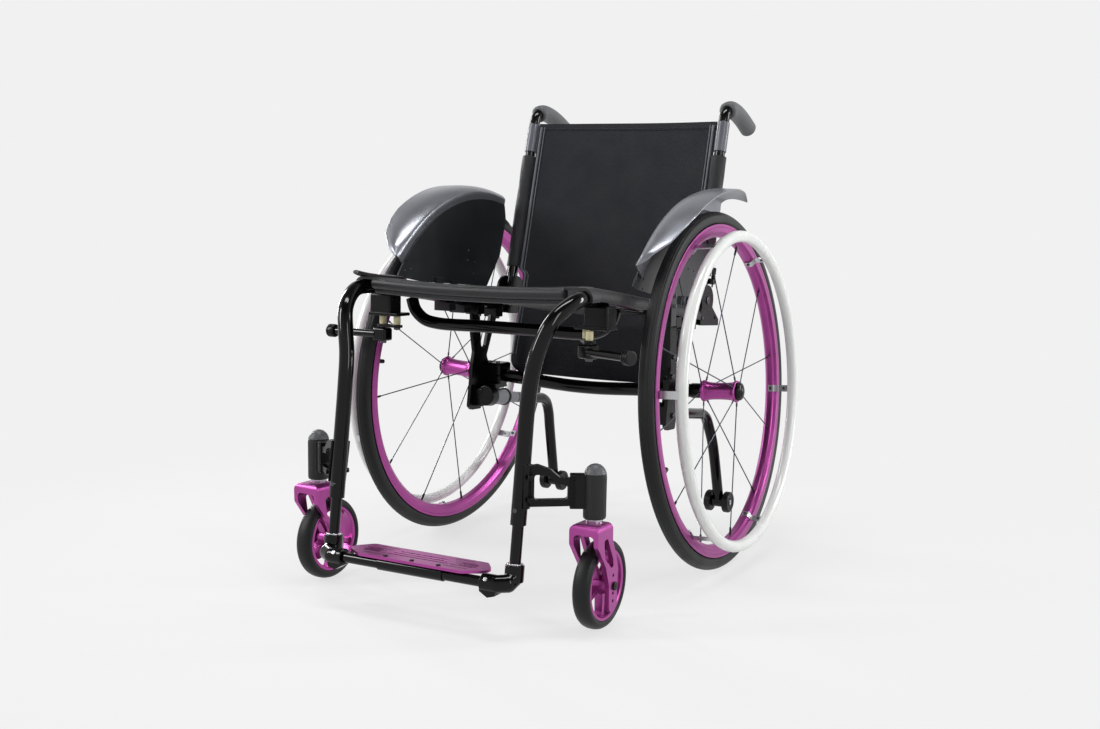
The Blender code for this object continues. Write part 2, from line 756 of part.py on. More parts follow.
def point_at_radius(hub, rim, radius):
    """Where the line from rim to hub, lengthened inwards, comes within radius of the axis."""
    line = (rim - hub).normalized()
    flat_hub, flat_line = hub.to_2d(), line.to_2d()
    pace = flat_line.length
    along = flat_hub.dot(flat_line) / pace
    offset = flat_hub.length_squared - along**2
    return hub + line * ((math.sqrt(radius**2 - offset) - along) / pace)


def build_rear_wheel(root, label, side, finishes):
    """Tyre, rim, spokes, hub, push ring, axle and release button of one rear wheel."""
    spin = Joint(f"wheel_spin_{label}", axle_point(side, 0), root)
    frame = wheel_matrix(side)
    tyre = turned(tyre_profile(), WHEEL_SIDES, true_flats=True)
    settle(tyre, f"rear_tyre_{label}", finishes["rubber"], spin, frame)
    rim = turned(rim_profile(), WHEEL_SIDES, true_flats=True)
    settle(rim, f"rear_rim_{label}", finishes["magenta"], spin, frame)

    step = 2 * math.pi / PUSH_RING_SECTION_SIDES
    ring_profile = [
        (
            PUSH_RING_RADIUS + PUSH_RING_TUBE_RADIUS * math.cos(i * step),
            PUSH_RING_OFFSET + PUSH_RING_TUBE_RADIUS * math.sin(i * step),
        )
        for i in range(PUSH_RING_SECTION_SIDES)
    ]
    ring = turned(ring_profile, WHEEL_SIDES, true_flats=True)
    half = PUSH_RING_TAB_THICKNESS / 2
    at_rim = RIM_RADIUS - PUSH_RING_TAB_INSET
    at_ring = PUSH_RING_RADIUS + PUSH_RING_TUBE_RADIUS - half
    tab_outline = [
        (at_rim - half, RIM_HALF_WIDTH + TOUCH), (at_rim + half, RIM_HALF_WIDTH + TOUCH),
        (at_ring + half, PUSH_RING_OFFSET), (at_ring - half, PUSH_RING_OFFSET),
    ]
    tabs = []
    for i in range(PUSH_RING_TABS):
        tab = plate(tab_outline, PUSH_RING_TAB_WIDTH, 0, XZ_PLANE)
        angle = PUSH_RING_FIRST_TAB[label] + i * 2 * math.pi / PUSH_RING_TABS
        tab.data.transform(Matrix.Rotation(angle, 4, "Z"))
        tabs.append(tab)
    settle(union(ring, *tabs), f"push_ring_{label}", finishes["white"], spin, frame)

    core_bore = HUB_CORE_RADIUS + TOUCH
    flange, waist, width = HUB_FLANGE_RADIUS, HUB_WAIST_RADIUS, HUB_FLANGE_WIDTH
    middle = (HUB_INNER_END + HUB_OUTER_END) / 2
    profile = [
        (core_bore, HUB_OUTER_END), (flange, HUB_OUTER_END), (flange, HUB_OUTER_END - width),
        (waist, middle), (flange, HUB_INNER_END + width),
        (flange, HUB_INNER_END), (core_bore, HUB_INNER_END),
    ]
    hub = turned(profile, HUB_SIDES)
    sleeve_bore = around(AXLE_RADIUS + RUNNING, HUB_SIDES)
    sleeve = turned(
        [
            (HUB_CORE_RADIUS, HUB_OUTER_END), (HUB_CORE_RADIUS, HUB_INNER_END),
            (sleeve_bore, HUB_INNER_END), (sleeve_bore, HUB_OUTER_END),
        ],
        HUB_SIDES,
    )
    drills = []
    wires = []
    for at_hub, at_rim in spoke_lines(label):
        inner = point_at_radius(at_hub, at_rim, SPOKE_SEAT_RADIUS)
        outside = point_at_radius(at_hub, at_rim, HUB_FLANGE_RADIUS + 0.003)
        drills.append(rod(inner, outside, SPOKE_RADIUS + 3 * RUNNING, 4))
        wires.append(rod(inner, at_rim, SPOKE_RADIUS, SPOKE_SIDES))
    settle(cut(hub, *drills), f"rear_hub_{label}", finishes["magenta"], spin, frame)
    settle(union(sleeve, *wires), f"spokes_{label}", finishes["dark_steel"], spin, frame)

    base = HUB_OUTER_END + TOUCH
    top = base + AXLE_HEAD_HEIGHT
    well = top - BUTTON_TRAVEL - 0.0013
    button_bore = around(BUTTON_RADIUS + RUNNING, HUB_SIDES)
    collar_start = HUB_INNER_END - TOUCH
    collar_end = HUB_INNER_END - AXLE_COLLAR_LENGTH
    profile = [
        (0, well), (button_bore, well), (button_bore, top), (AXLE_HEAD_RADIUS - 0.003, top),
        (AXLE_HEAD_RADIUS, top - 0.003), (AXLE_HEAD_RADIUS, base), (AXLE_RADIUS, base),
        (AXLE_RADIUS, collar_start), (AXLE_COLLAR_RADIUS, collar_start),
        (AXLE_COLLAR_RADIUS, collar_end), (AXLE_RADIUS, collar_end),
        (AXLE_RADIUS, collar_end - AXLE_GRIP_LENGTH), (0, collar_end - AXLE_GRIP_LENGTH),
    ]
    axle = turned(profile, HUB_SIDES, closed=False)
    place = Matrix.Translation(axle_point(side, 0)) @ frame
    axle.data.transform(place)
    settle(axle, f"quick_release_axle_{label}", finishes["black_metal"], root)

    start = top - 0.001
    press = Joint(f"release_press_{label}", axle_point(side, start), root)
    profile = [
        (0, BUTTON_PROUD + 0.001), (0.0045, BUTTON_PROUD + 0.0006), (BUTTON_RADIUS, 0.001),
        (BUTTON_RADIUS, 0), (0, 0),
    ]
    button = turned(profile, HUB_SIDES, closed=False)
    settle(button, f"release_button_{label}", finishes["black_plastic"], press, frame)


# Casters
def caster_leg_outline():
    """Outline of a fork leg in y and z, from its front top corner round to its rear one."""
    axle = Vector((CASTER_WHEEL_Y - 0.003, 0.038))
    foot = [
        (axle.x + 0.0115 * math.cos(angle), axle.y + 0.0115 * math.sin(angle))
        for angle in (math.radians(a) for a in (180, 225, 270, 315, 360))
    ]
    top = FORK_CROWN_BOTTOM + FORK_CROWN_HEIGHT
    front = [(-0.4416, top), (-0.4410, 0.1290), (-0.4160, 0.0960), (-0.4050, 0.0680)]
    rear = [(-0.3790, 0.0640), (-0.3775, 0.0850), (-0.3850, 0.1080), (-0.3960, 0.1310),
            (-0.3969, top)]
    return front + foot + rear


def round_hole(y, z, radius, sides=6):
    """A round hole's outline."""
    turns = [2 * math.pi * i / sides for i in range(sides)]
    return [(y + radius * math.cos(a), z + radius * math.sin(a)) for a in turns]


def bracket_matrix(side):
    """The caster bracket's frame: x from the front leg to the caster stem, y up."""
    leg = leg_point(side, HOUSING_BOTTOM + 0.045)
    start = Vector((leg.x, leg.y, 0))
    along = (Vector((side * CASTER_X, CASTER_STEM_Y, 0)) - start).normalized()
    up = Vector((0, 0, 1))
    turn = Matrix((along, up, along.cross(up))).transposed().to_4x4()
    return Matrix.Translation(start) @ turn


def build_caster(root, label, side, finishes):
    """Bracket, housing, fork and wheel of one caster."""
    frame = bracket_matrix(side)
    stem = Vector((side * CASTER_X, CASTER_STEM_Y, 0))
    reach = (stem - frame.translation).length
    outline = [
        (0.006, 0.2340), (0.022, 0.2366), (0.040, 0.2300), (0.052, 0.2195), (0.070, 0.2180),
        (0.070, 0.1800), (0.006, 0.1786),
    ]
    window = [(0.0175, 0.1880), (0.063, 0.1890), (0.063, 0.2090), (0.048, 0.2110), (0.038, 0.2205),
              (0.0175, 0.2240)]
    bracket = plate(outline, BRACKET_THICKNESS, 0, frame, [window])
    rack = box((0.066, 0.1760, -0.008), (reach - 0.003, 0.2240, 0.008), 0.001)
    rack.data.transform(frame)
    collar = rod(leg_point(side, 0.1765), leg_point(side, 0.2370), BRACKET_COLLAR_RADIUS)
    union(bracket, rack, collar)
    tube_cutter = bore(leg_point(side, 0.150), leg_point(side, 0.260), TUBE_RADIUS + TOUCH)
    housing_cutter = bore(
        stem + Vector((0, 0, 0.150)), stem + Vector((0, 0, 0.250)), HOUSING_RADIUS + TOUCH,
        HOUSING_SIDES,
    )
    cut(bracket, tube_cutter, housing_cutter)
    settle(bracket, f"caster_bracket_{label}", finishes["black_metal"], root)

    cap = HOUSING_TOP + HOUSING_CAP_HEIGHT
    stem_bore = around(STEM_RADIUS + RUNNING, HOUSING_SIDES)
    profile = [
        (0, cap), (0.0070, cap - 0.0010), (0.0135, HOUSING_TOP + 0.0060),
        (HOUSING_RADIUS, HOUSING_TOP), (HOUSING_RADIUS, HOUSING_BOTTOM),
        (stem_bore, HOUSING_BOTTOM), (stem_bore, STEM_TOP + 0.001),
        (0, STEM_TOP + 0.001),
    ]
    housing = turned(profile, HOUSING_SIDES, closed=False)
    housing.data.transform(Matrix.Translation(stem))
    settle(housing, f"caster_housing_{label}", finishes["black_plastic"], root)

    crown_top = FORK_CROWN_BOTTOM + FORK_CROWN_HEIGHT
    swivel = Joint(f"caster_swivel_{label}", stem + Vector((0, 0, crown_top)), root)
    half_out = FORK_GAP / 2 + FORK_LEG_THICKNESS
    fork = box(
        (side * CASTER_X - half_out, -0.4416, FORK_CROWN_BOTTOM),
        (side * CASTER_X + half_out, -0.3969, crown_top),
        0.003,
    )
    slot = [(-0.4225, 0.1350), (-0.4120, 0.1360), (-0.3940, 0.1030), (-0.3925, 0.0920),
            (-0.3985, 0.0915), (-0.4180, 0.1080)]
    hole_y = CASTER_WHEEL_Y - 0.003
    holes = [slot] + [round_hole(hole_y, z, 0.0022) for z in (0.0790, 0.0445)]
    pieces = []
    for hand in (-1, 1):
        middle = side * CASTER_X + hand * (FORK_GAP + FORK_LEG_THICKNESS) / 2
        pieces.append(plate(caster_leg_outline(), FORK_LEG_THICKNESS, middle, holes=holes))
    pieces.append(rod(stem + Vector((0, 0, 0.150)), stem + Vector((0, 0, STEM_TOP)), STEM_RADIUS))
    washer_top = HOUSING_BOTTOM - TOUCH
    pieces.append(rod(stem + Vector((0, 0, 0.155)), stem + Vector((0, 0, washer_top)), 0.012))
    axle = Vector((side * CASTER_X, CASTER_WHEEL_Y, CASTER_RADIUS))
    reach_out = Vector((half_out + 0.0015, 0, 0))
    pieces.append(rod(axle - reach_out, axle + reach_out, CASTER_BOLT_RADIUS, 10))
    for hand in (-1, 1):
        seat = Vector((hand * (half_out - 0.001), 0, 0))
        head = Vector((hand * (half_out + 0.003), 0, 0))
        pieces.append(rod(axle + seat, axle + head, 0.0062, 8))
    settle(union(fork, *pieces), f"caster_fork_{label}", finishes["magenta"], swivel)

    spin = Joint(f"caster_spin_{label}", axle, swivel)
    lie = Matrix.Rotation(math.pi / 2, 4, "Y")
    inner = CASTER_RIM_RADIUS + TOUCH
    width = CASTER_TYRE_HALF_WIDTH
    half = [
        (CASTER_RADIUS, 0.006), (CASTER_RADIUS - 0.0025, 0.0110), (CASTER_RADIUS - 0.0070, width),
        (inner, width - 0.0014),
    ]
    profile = half + [(radius, -height) for radius, height in reversed(half)]
    tyre = turned(profile, CASTER_SIDES, true_flats=True)
    settle(tyre, f"caster_tyre_{label}", finishes["rubber"], spin, lie)

    rim_inner = CASTER_RIM_RADIUS - CASTER_RIM_THICKNESS
    half_rim = CASTER_RIM_HALF_WIDTH
    rim = turned(
        [(CASTER_RIM_RADIUS, half_rim), (CASTER_RIM_RADIUS, -half_rim), (rim_inner, -half_rim),
         (rim_inner, half_rim)],
        CASTER_SIDES,
        true_flats=True,
    )
    half_hub = FORK_GAP / 2 - SIDE_PLAY
    inside = around(CASTER_BOLT_RADIUS + RUNNING, CASTER_SIDES)
    core = turned(
        [(CASTER_HUB_RADIUS, half_hub), (CASTER_HUB_RADIUS, -half_hub), (inside, -half_hub),
         (inside, half_hub)],
        CASTER_SIDES,
    )
    arms = []
    for i in range(CASTER_HUB_SPOKES):
        arm = box((CASTER_HUB_RADIUS - 0.002, -0.0035, -0.006), (rim_inner + 0.002, 0.0035, 0.006))
        arm.data.transform(Matrix.Rotation(2 * math.pi * i / CASTER_HUB_SPOKES, 4, "Z"))
        arms.append(arm)
    settle(union(rim, core, *arms), f"caster_hub_{label}", finishes["magenta"], spin, lie)


# Footrest
def build_footrest(root, finishes):
    """Sliding legs with their elbows, the cross tube and the hinged footplate."""
    slide = Joint("footrest_slide", (0, FOOT_TUBE_Y, FOOT_TUBE_Z), root)
    for label, side in SIDES:
        top = leg_point(side, FOOT_LEG_TOP)
        collar_bottom = FOOT_COLLAR_TOP - FOOT_COLLAR_HEIGHT
        leg = rod(leg_point(side, collar_bottom + 0.004), top, FOOT_LEG_RADIUS)
        collar = rod(leg_point(side, collar_bottom), leg_point(side, FOOT_COLLAR_TOP),
                     FOOT_COLLAR_RADIUS)
        turn = [
            leg_point(side, FOOT_COLLAR_TOP - 0.018),
            Vector((side * 0.1540, -0.4950, FOOT_TUBE_Z)),
            Vector((side * 0.1400, FOOT_TUBE_Y, FOOT_TUBE_Z)),
            Vector((side * FOOT_ELBOW_X, FOOT_TUBE_Y, FOOT_TUBE_Z)),
        ]
        elbow = sweep(turn, FOOT_ELBOW_RADIUS)
        union(leg, collar, elbow)
        bore_end = FOOT_TUBE_HALF_LENGTH + TOUCH
        cut(leg, bore((side * (FOOT_ELBOW_X - 0.01), FOOT_TUBE_Y, FOOT_TUBE_Z),
                      (side * bore_end, FOOT_TUBE_Y, FOOT_TUBE_Z), FOOT_TUBE_RADIUS + TOUCH))
        settle(leg, f"footrest_leg_{label}", finishes["black_gloss"], slide)
    end = Vector((FOOT_TUBE_HALF_LENGTH, 0, 0))
    middle = Vector((0, FOOT_TUBE_Y, FOOT_TUBE_Z))
    tube = rod(middle - end, middle + end, FOOT_TUBE_RADIUS)
    settle(tube, "footrest_cross_tube", finishes["black_gloss"], slide)

    flip = Joint("footplate_flip", middle, slide)
    long, front, rear = FOOTPLATE_HALF_LENGTH, FOOTPLATE_FRONT_Y, FOOTPLATE_REAR_Y
    front_cut, rear_cut = FOOTPLATE_FRONT_CORNER, FOOTPLATE_REAR_CORNER
    half = [
        (long - front_cut[0], front), (long, front + front_cut[1]),
        (long, rear - rear_cut[1]), (long - rear_cut[0], rear),
    ]
    outline = half + [(-x, y) for x, y in reversed(half)]
    slots = []
    for row in range(3):
        y = -0.4870 + row * 0.0085
        half = 0.052 - row * 0.006
        slots.append([(-half, y - 0.0012), (half, y - 0.0012), (half, y + 0.0012),
                      (-half, y + 0.0012)])
    plate_bottom = FOOT_TUBE_Z + SLEEVE_RADIUS - 0.0006
    footplate = plate(outline, FOOTPLATE_THICKNESS, plate_bottom + FOOTPLATE_THICKNESS / 2,
                      XY_PLANE, slots)
    sleeve_end = Vector((SLEEVE_HALF_LENGTH, 0, 0))
    union(footplate, rod(middle - sleeve_end, middle + sleeve_end, SLEEVE_RADIUS))
    cut(footplate, bore(middle - 2 * sleeve_end, middle + 2 * sleeve_end,
                        FOOT_TUBE_RADIUS + RUNNING))
    settle(footplate, "footplate", finishes["magenta"], flip)


# Back
def post_path(x, tip=HANDLE_TIP):
    """Middle line of a back post and the handle bent back from its top."""
    straight = [back_point(x, 0, -POST_BELOW_PIVOT), back_point(x, 0, POST_STRAIGHT)]
    handle = [
        straight[1], (x, 0.1425, 0.7540), (x, 0.1525, 0.7648), (x, 0.1700, 0.7690),
        (x, 0.1950, 0.7665), (x, 0.2250, 0.7580), (x, *tip),
    ]
    return straight[:1] + handle


def hinge_cheek_outline():
    """Side plate of the back hinge, with an arc about the pivot."""
    arc = [
        (
            PIVOT_Y + CHEEK_ARC_RADIUS * math.cos(math.radians(angle)),
            PIVOT_Z + CHEEK_ARC_RADIUS * math.sin(math.radians(angle)),
        )
        for angle in range(-30, 211, 40)
    ]
    front = HINGE_FRONT_Y
    return [(front, 0.3985), (0.1130, 0.3940), (0.1130, 0.4050)] + arc + [(front, 0.4230)]


def build_back(root, finishes):
    """Hinges, posts, grips, locks and the sling of the fold-down back."""
    fold = Joint("back_fold", (0, PIVOT_Y, PIVOT_Z), root)
    frame = back_matrix()
    for label, side in SIDES:
        x = side * RAIL_X
        cheek = POST_RADIUS + RUNNING + CHEEK_THICKNESS / 2
        outline = hinge_cheek_outline()
        hinge = plate(outline, CHEEK_THICKNESS, x - cheek)
        half = cheek + CHEEK_THICKNESS / 2
        front = HINGE_FRONT_Y
        pieces = [
            plate(outline, CHEEK_THICKNESS, x + cheek),
            box((x - half, front, 0.3990), (x + half, front + 0.0105, 0.4215)),
            rod((x, front + 0.004, rail_z(front + 0.004)), (x, front - 0.025, rail_z(front - 0.025)),
                FOOT_LEG_RADIUS),
            rod((x - half - 0.0015, PIVOT_Y, PIVOT_Z), (x + half + 0.0015, PIVOT_Y, PIVOT_Z),
                HINGE_PIN_RADIUS),
        ]
        settle(union(hinge, *pieces), f"back_hinge_{label}", finishes["black_metal"], root)

        post = sweep(post_path(x), POST_RADIUS)
        boss_start = CHEEK_ARC_RADIUS + 0.0045
        boss_end = SLING_POCKET_START - 0.0042
        boss = box(
            (x, boss_start, -LOCK_BACK - 0.004),
            (side * (LOCK_X + 0.0035), boss_end, -LOCK_BACK + 0.004),
        )
        boss.data.transform(frame)
        sleeve = rod(back_point(x, 0, POST_SLEEVE_START), back_point(x, 0, POST_STRAIGHT + 0.006),
                     POST_SLEEVE_RADIUS)
        union(post, sleeve, boss)
        lock_x = side * LOCK_X
        lock_bore = bore(back_point(lock_x, LOCK_BACK, boss_start - 0.01),
                         back_point(lock_x, LOCK_BACK, boss_end + 0.01), LOCK_PIN_RADIUS + RUNNING, 8)
        pin_bore = bore((x - 0.03, PIVOT_Y, PIVOT_Z), (x + 0.03, PIVOT_Y, PIVOT_Z),
                        HINGE_PIN_RADIUS + RUNNING)
        settle(cut(post, lock_bore, pin_bore), f"back_post_{label}", finishes["black_gloss"], fold)

        y, z = HANDLE_TIP
        grip_path = post_path(x, (y + 0.004, z - 0.0016))[3:]
        grip = sweep(grip_path, GRIP_RADIUS)
        hollow = post_path(x, (y + TOUCH, z - 0.4 * TOUCH))
        cut(grip, sweep(hollow, around(POST_RADIUS + TOUCH, TUBE_SIDES)))
        settle(grip, f"push_grip_{label}", finishes["rubber"], fold)

        knob_start = boss_end + TOUCH
        pull = Joint(f"fold_lock_pull_{label}", back_point(lock_x, LOCK_BACK, knob_start), fold)
        tip = math.sqrt((CHEEK_ARC_RADIUS + TOUCH) ** 2 - LOCK_BACK**2) + 0.001
        lock = rod(back_point(lock_x, LOCK_BACK, tip),
                   back_point(lock_x, LOCK_BACK, knob_start + 0.004), LOCK_PIN_RADIUS, 8)
        knob = rod(back_point(lock_x, LOCK_BACK, knob_start),
                   back_point(lock_x, LOCK_BACK, knob_start + LOCK_KNOB_LENGTH), LOCK_KNOB_RADIUS, 12)
        settle(union(lock, knob), f"fold_lock_{label}", finishes["black_plastic"], pull)
    settle(back_sling(frame), "back_sling", finishes["fabric"], fold)


def back_sling(frame):
    """The back's fabric: a sagging panel with a pocket for each post and a flap below."""
    count = 12
    across = [-SLING_HALF_WIDTH + 2 * SLING_HALF_WIDTH * i / count for i in range(count + 1)]
    line = [(x, -SLING_SAG * (1 - (x / SLING_HALF_WIDTH) ** 2)) for x in across]
    half = SLING_THICKNESS / 2
    section = [(x, n + half) for x, n in line] + [(x, n - half) for x, n in reversed(line)]
    middle = (SLING_TOP + SLING_BOTTOM) / 2
    turn = Matrix(((1, 0, 0, 0), (0, 0, -1, 0), (0, 1, 0, 0), (0, 0, 0, 1)))
    panel = plate(section, SLING_TOP - SLING_BOTTOM, -middle, frame @ turn)
    wide, narrow, corner = SLING_HALF_WIDTH - 0.0002, SLING_FLAP_HALF_WIDTH, 0.028
    shoulder = SLING_POCKET_START - 0.006
    right = [
        (wide, SLING_TOP - 0.0002), (wide, shoulder), (narrow, shoulder - 0.006),
        (narrow, SLING_BOTTOM + corner), (narrow - 0.3 * corner, SLING_BOTTOM + 0.3 * corner),
        (narrow - corner, SLING_BOTTOM + 0.0002),
    ]
    outline = right + [(-x, up) for x, up in reversed(right)]
    boolean(panel, [plate(outline, 0.060, 0, frame)], "INTERSECT")
    pockets = []
    bores = []
    for _, side in SIDES:
        x = side * RAIL_X
        pockets.append(rod(back_point(x, 0, SLING_POCKET_START), back_point(x, 0, SLING_POCKET_END),
                           SLING_POCKET_RADIUS))
        bores.append(bore(back_point(x, 0, 0), back_point(x, 0, SLING_TOP + 0.01),
                          POST_RADIUS + TOUCH))
    union(panel, *pockets)
    return cut(panel, *bores)


# Seat
def seat_section(y):
    """Points across the seat sling at one place along it: it wraps both rails and sags."""
    rail = rail_point(y)
    height = rail.z
    wrap = TUBE_RADIUS + 2 * TOUCH + SEAT_THICKNESS
    corner = wrap / math.cos(math.radians(17.5))
    share = min(1.0, (y - SEAT_FRONT_Y) / (SEAT_SAG_Y - SEAT_FRONT_Y))
    sag = SEAT_FRONT_SAG + (SEAT_SAG - SEAT_FRONT_SAG) * share
    half = []
    for x in (0.0, 0.060, 0.115, 0.165):
        drop = sag * (1 - (x / 0.178) ** 2)
        half.append(Vector((x, y, height + wrap - drop)))
    for angle in (90, 55, 20, -15):
        turn = math.radians(angle)
        x = rail.x + corner * math.cos(turn)
        half.append(Vector((x, y, height + corner * math.sin(turn))))
    left = [Vector((-point.x, point.y, point.z)) for point in reversed(half[1:])]
    return left + half


def build_seat(root, fabric):
    """The seat sling with its rolled front hem."""
    bm = bmesh.new()
    bend = [point.y for point in side_frame_path(1) if SEAT_FRONT_Y < point.y < RAIL_BEND_Y]
    rows = [SEAT_FRONT_Y, *sorted(bend), RAIL_BEND_Y, -0.270, SEAT_SAG_Y, -0.110, SEAT_REAR_Y]
    grid = [[bm.verts.new(point) for point in seat_section(y)] for y in rows]
    for near, far in zip(grid, grid[1:]):
        for a, b, c, d in zip(near, near[1:], far[1:], far):
            bm.faces.new((a, b, c, d))
    bmesh.ops.recalc_face_normals(bm, faces=bm.faces)
    mesh = bpy.data.meshes.new("seat")
    bm.to_mesh(mesh)
    bm.free()
    item = shape(mesh)
    wall = item.modifiers.new("cloth", "SOLIDIFY")
    wall.thickness = SEAT_THICKNESS
    wall.use_even_offset = True
    wall.offset = -1
    sling = baked(item)
    middle = seat_section(SEAT_FRONT_Y)
    roll_end = RAIL_X - TUBE_RADIUS - TOUCH - 0.002
    line = [point for point in middle if abs(point.x) < SEAT_ROLL_SAGGING]
    ends = [Vector((-roll_end, SEAT_FRONT_Y, line[0].z + 0.0015)),
            Vector((roll_end, SEAT_FRONT_Y, line[-1].z + 0.0015))]
    path = [ends[0]] + line + [ends[1]]
    drop = Vector((0, 0.001, -SEAT_ROLL_RADIUS + 0.0004))
    roll = sweep([point + drop for point in path], SEAT_ROLL_RADIUS, 8)
    settle(union(sling, roll), "seat_sling", fabric, root)


# Side guards
def guard_arc(radius, first, last, count):
    """Points of an arc about the rear axle; angles run from the top towards the rear."""
    points = []
    for i in range(count + 1):
        angle = math.radians(first + (last - first) * i / count)
        points.append((radius * math.sin(angle), AXLE_Z + radius * math.cos(angle)))
    return points


def build_guard(root, label, side, panel_finish, fender_finish):
    """Flat guard panel with its feet on the rail, and the fender over the tyre."""
    outline = guard_arc(GUARD_RADIUS, -55, 13.2, 10) + [
        (0.075, 0.567), (0.056, 0.5026), (0.013, 0.447), (-0.186, 0.460), (-0.236, 0.468),
    ]
    middle = side * (GUARD_X + GUARD_THICKNESS / 2)
    panel = plate(outline, GUARD_THICKNESS, middle)
    feet = []
    for y in (-0.140, -0.095):
        foot_low, foot_high = rail_z(y) - 0.024, rail_z(y) + 0.032
        feet.append(box((side * (RAIL_X + TUBE_RADIUS + 0.0042), y - 0.010, foot_low),
                        (side * (GUARD_X + 0.001), y + 0.010, foot_high), 0.001))
        feet.append(box((side * (RAIL_X - 0.010), y - 0.010, foot_low),
                        (side * (GUARD_X - 0.001), y + 0.010, rail_z(y) - 0.009)))
    union(panel, *feet)
    cut(panel, rail_cutter(side))
    settle(panel, f"guard_panel_{label}", panel_finish, root)

    first, last, count = -50.0, 14.0, 11
    widths = [(-50, 0.008), (-48, 0.018), (-42, 0.044), (-36, 0.054), (-30, 0.060), (-22, 0.062),
              (-12, 0.0645), (0, 0.062), (8, 0.056), (14, 0.048)]
    bm = bmesh.new()
    grid = []
    for i in range(count + 1):
        angle = first + (last - first) * i / count
        width = interpolate(widths, angle)
        turn = math.radians(angle)
        rows = [
            (0.0, -FENDER_FLANGE_DEPTH), (0.0, -0.004), (0.0030, 0.0020),
            (0.35 * width, 0.0075), (0.70 * width, 0.0085), (width, 0.0060),
        ]
        line = []
        for out, rise in rows:
            out = min(out, width)
            radius = FENDER_RADIUS + rise
            x = side * (GUARD_X + GUARD_THICKNESS + TOUCH + out)
            spot = (x, radius * math.sin(turn), AXLE_Z + radius * math.cos(turn))
            line.append(bm.verts.new(spot))
        grid.append(line)
    for near, far in zip(grid, grid[1:]):
        for a, b, c, d in zip(near, near[1:], far[1:], far):
            bm.faces.new((a, b, c, d) if side > 0 else (d, c, b, a))
    mesh = bpy.data.meshes.new("fender")
    bm.to_mesh(mesh)
    bm.free()
    item = shape(mesh)
    wall = item.modifiers.new("wall", "SOLIDIFY")
    wall.thickness = FENDER_THICKNESS
    wall.offset = -1
    settle(baked(item), f"guard_fender_{label}", fender_finish, root)


def interpolate(table, value):
    """The value between two rows of a short table."""
    for (low, low_value), (high, high_value) in zip(table, table[1:]):
        if value <= high:
            share = (value - low) / (high - low)
            return low_value + share * (high_value - low_value)
    return table[-1][1]


# Brakes
def turn_about(point, angle):
    """A turn about the upright line through a point."""
    return Matrix.Translation(point) @ Matrix.Rotation(angle, 4, "Z") @ Matrix.Translation(-point)


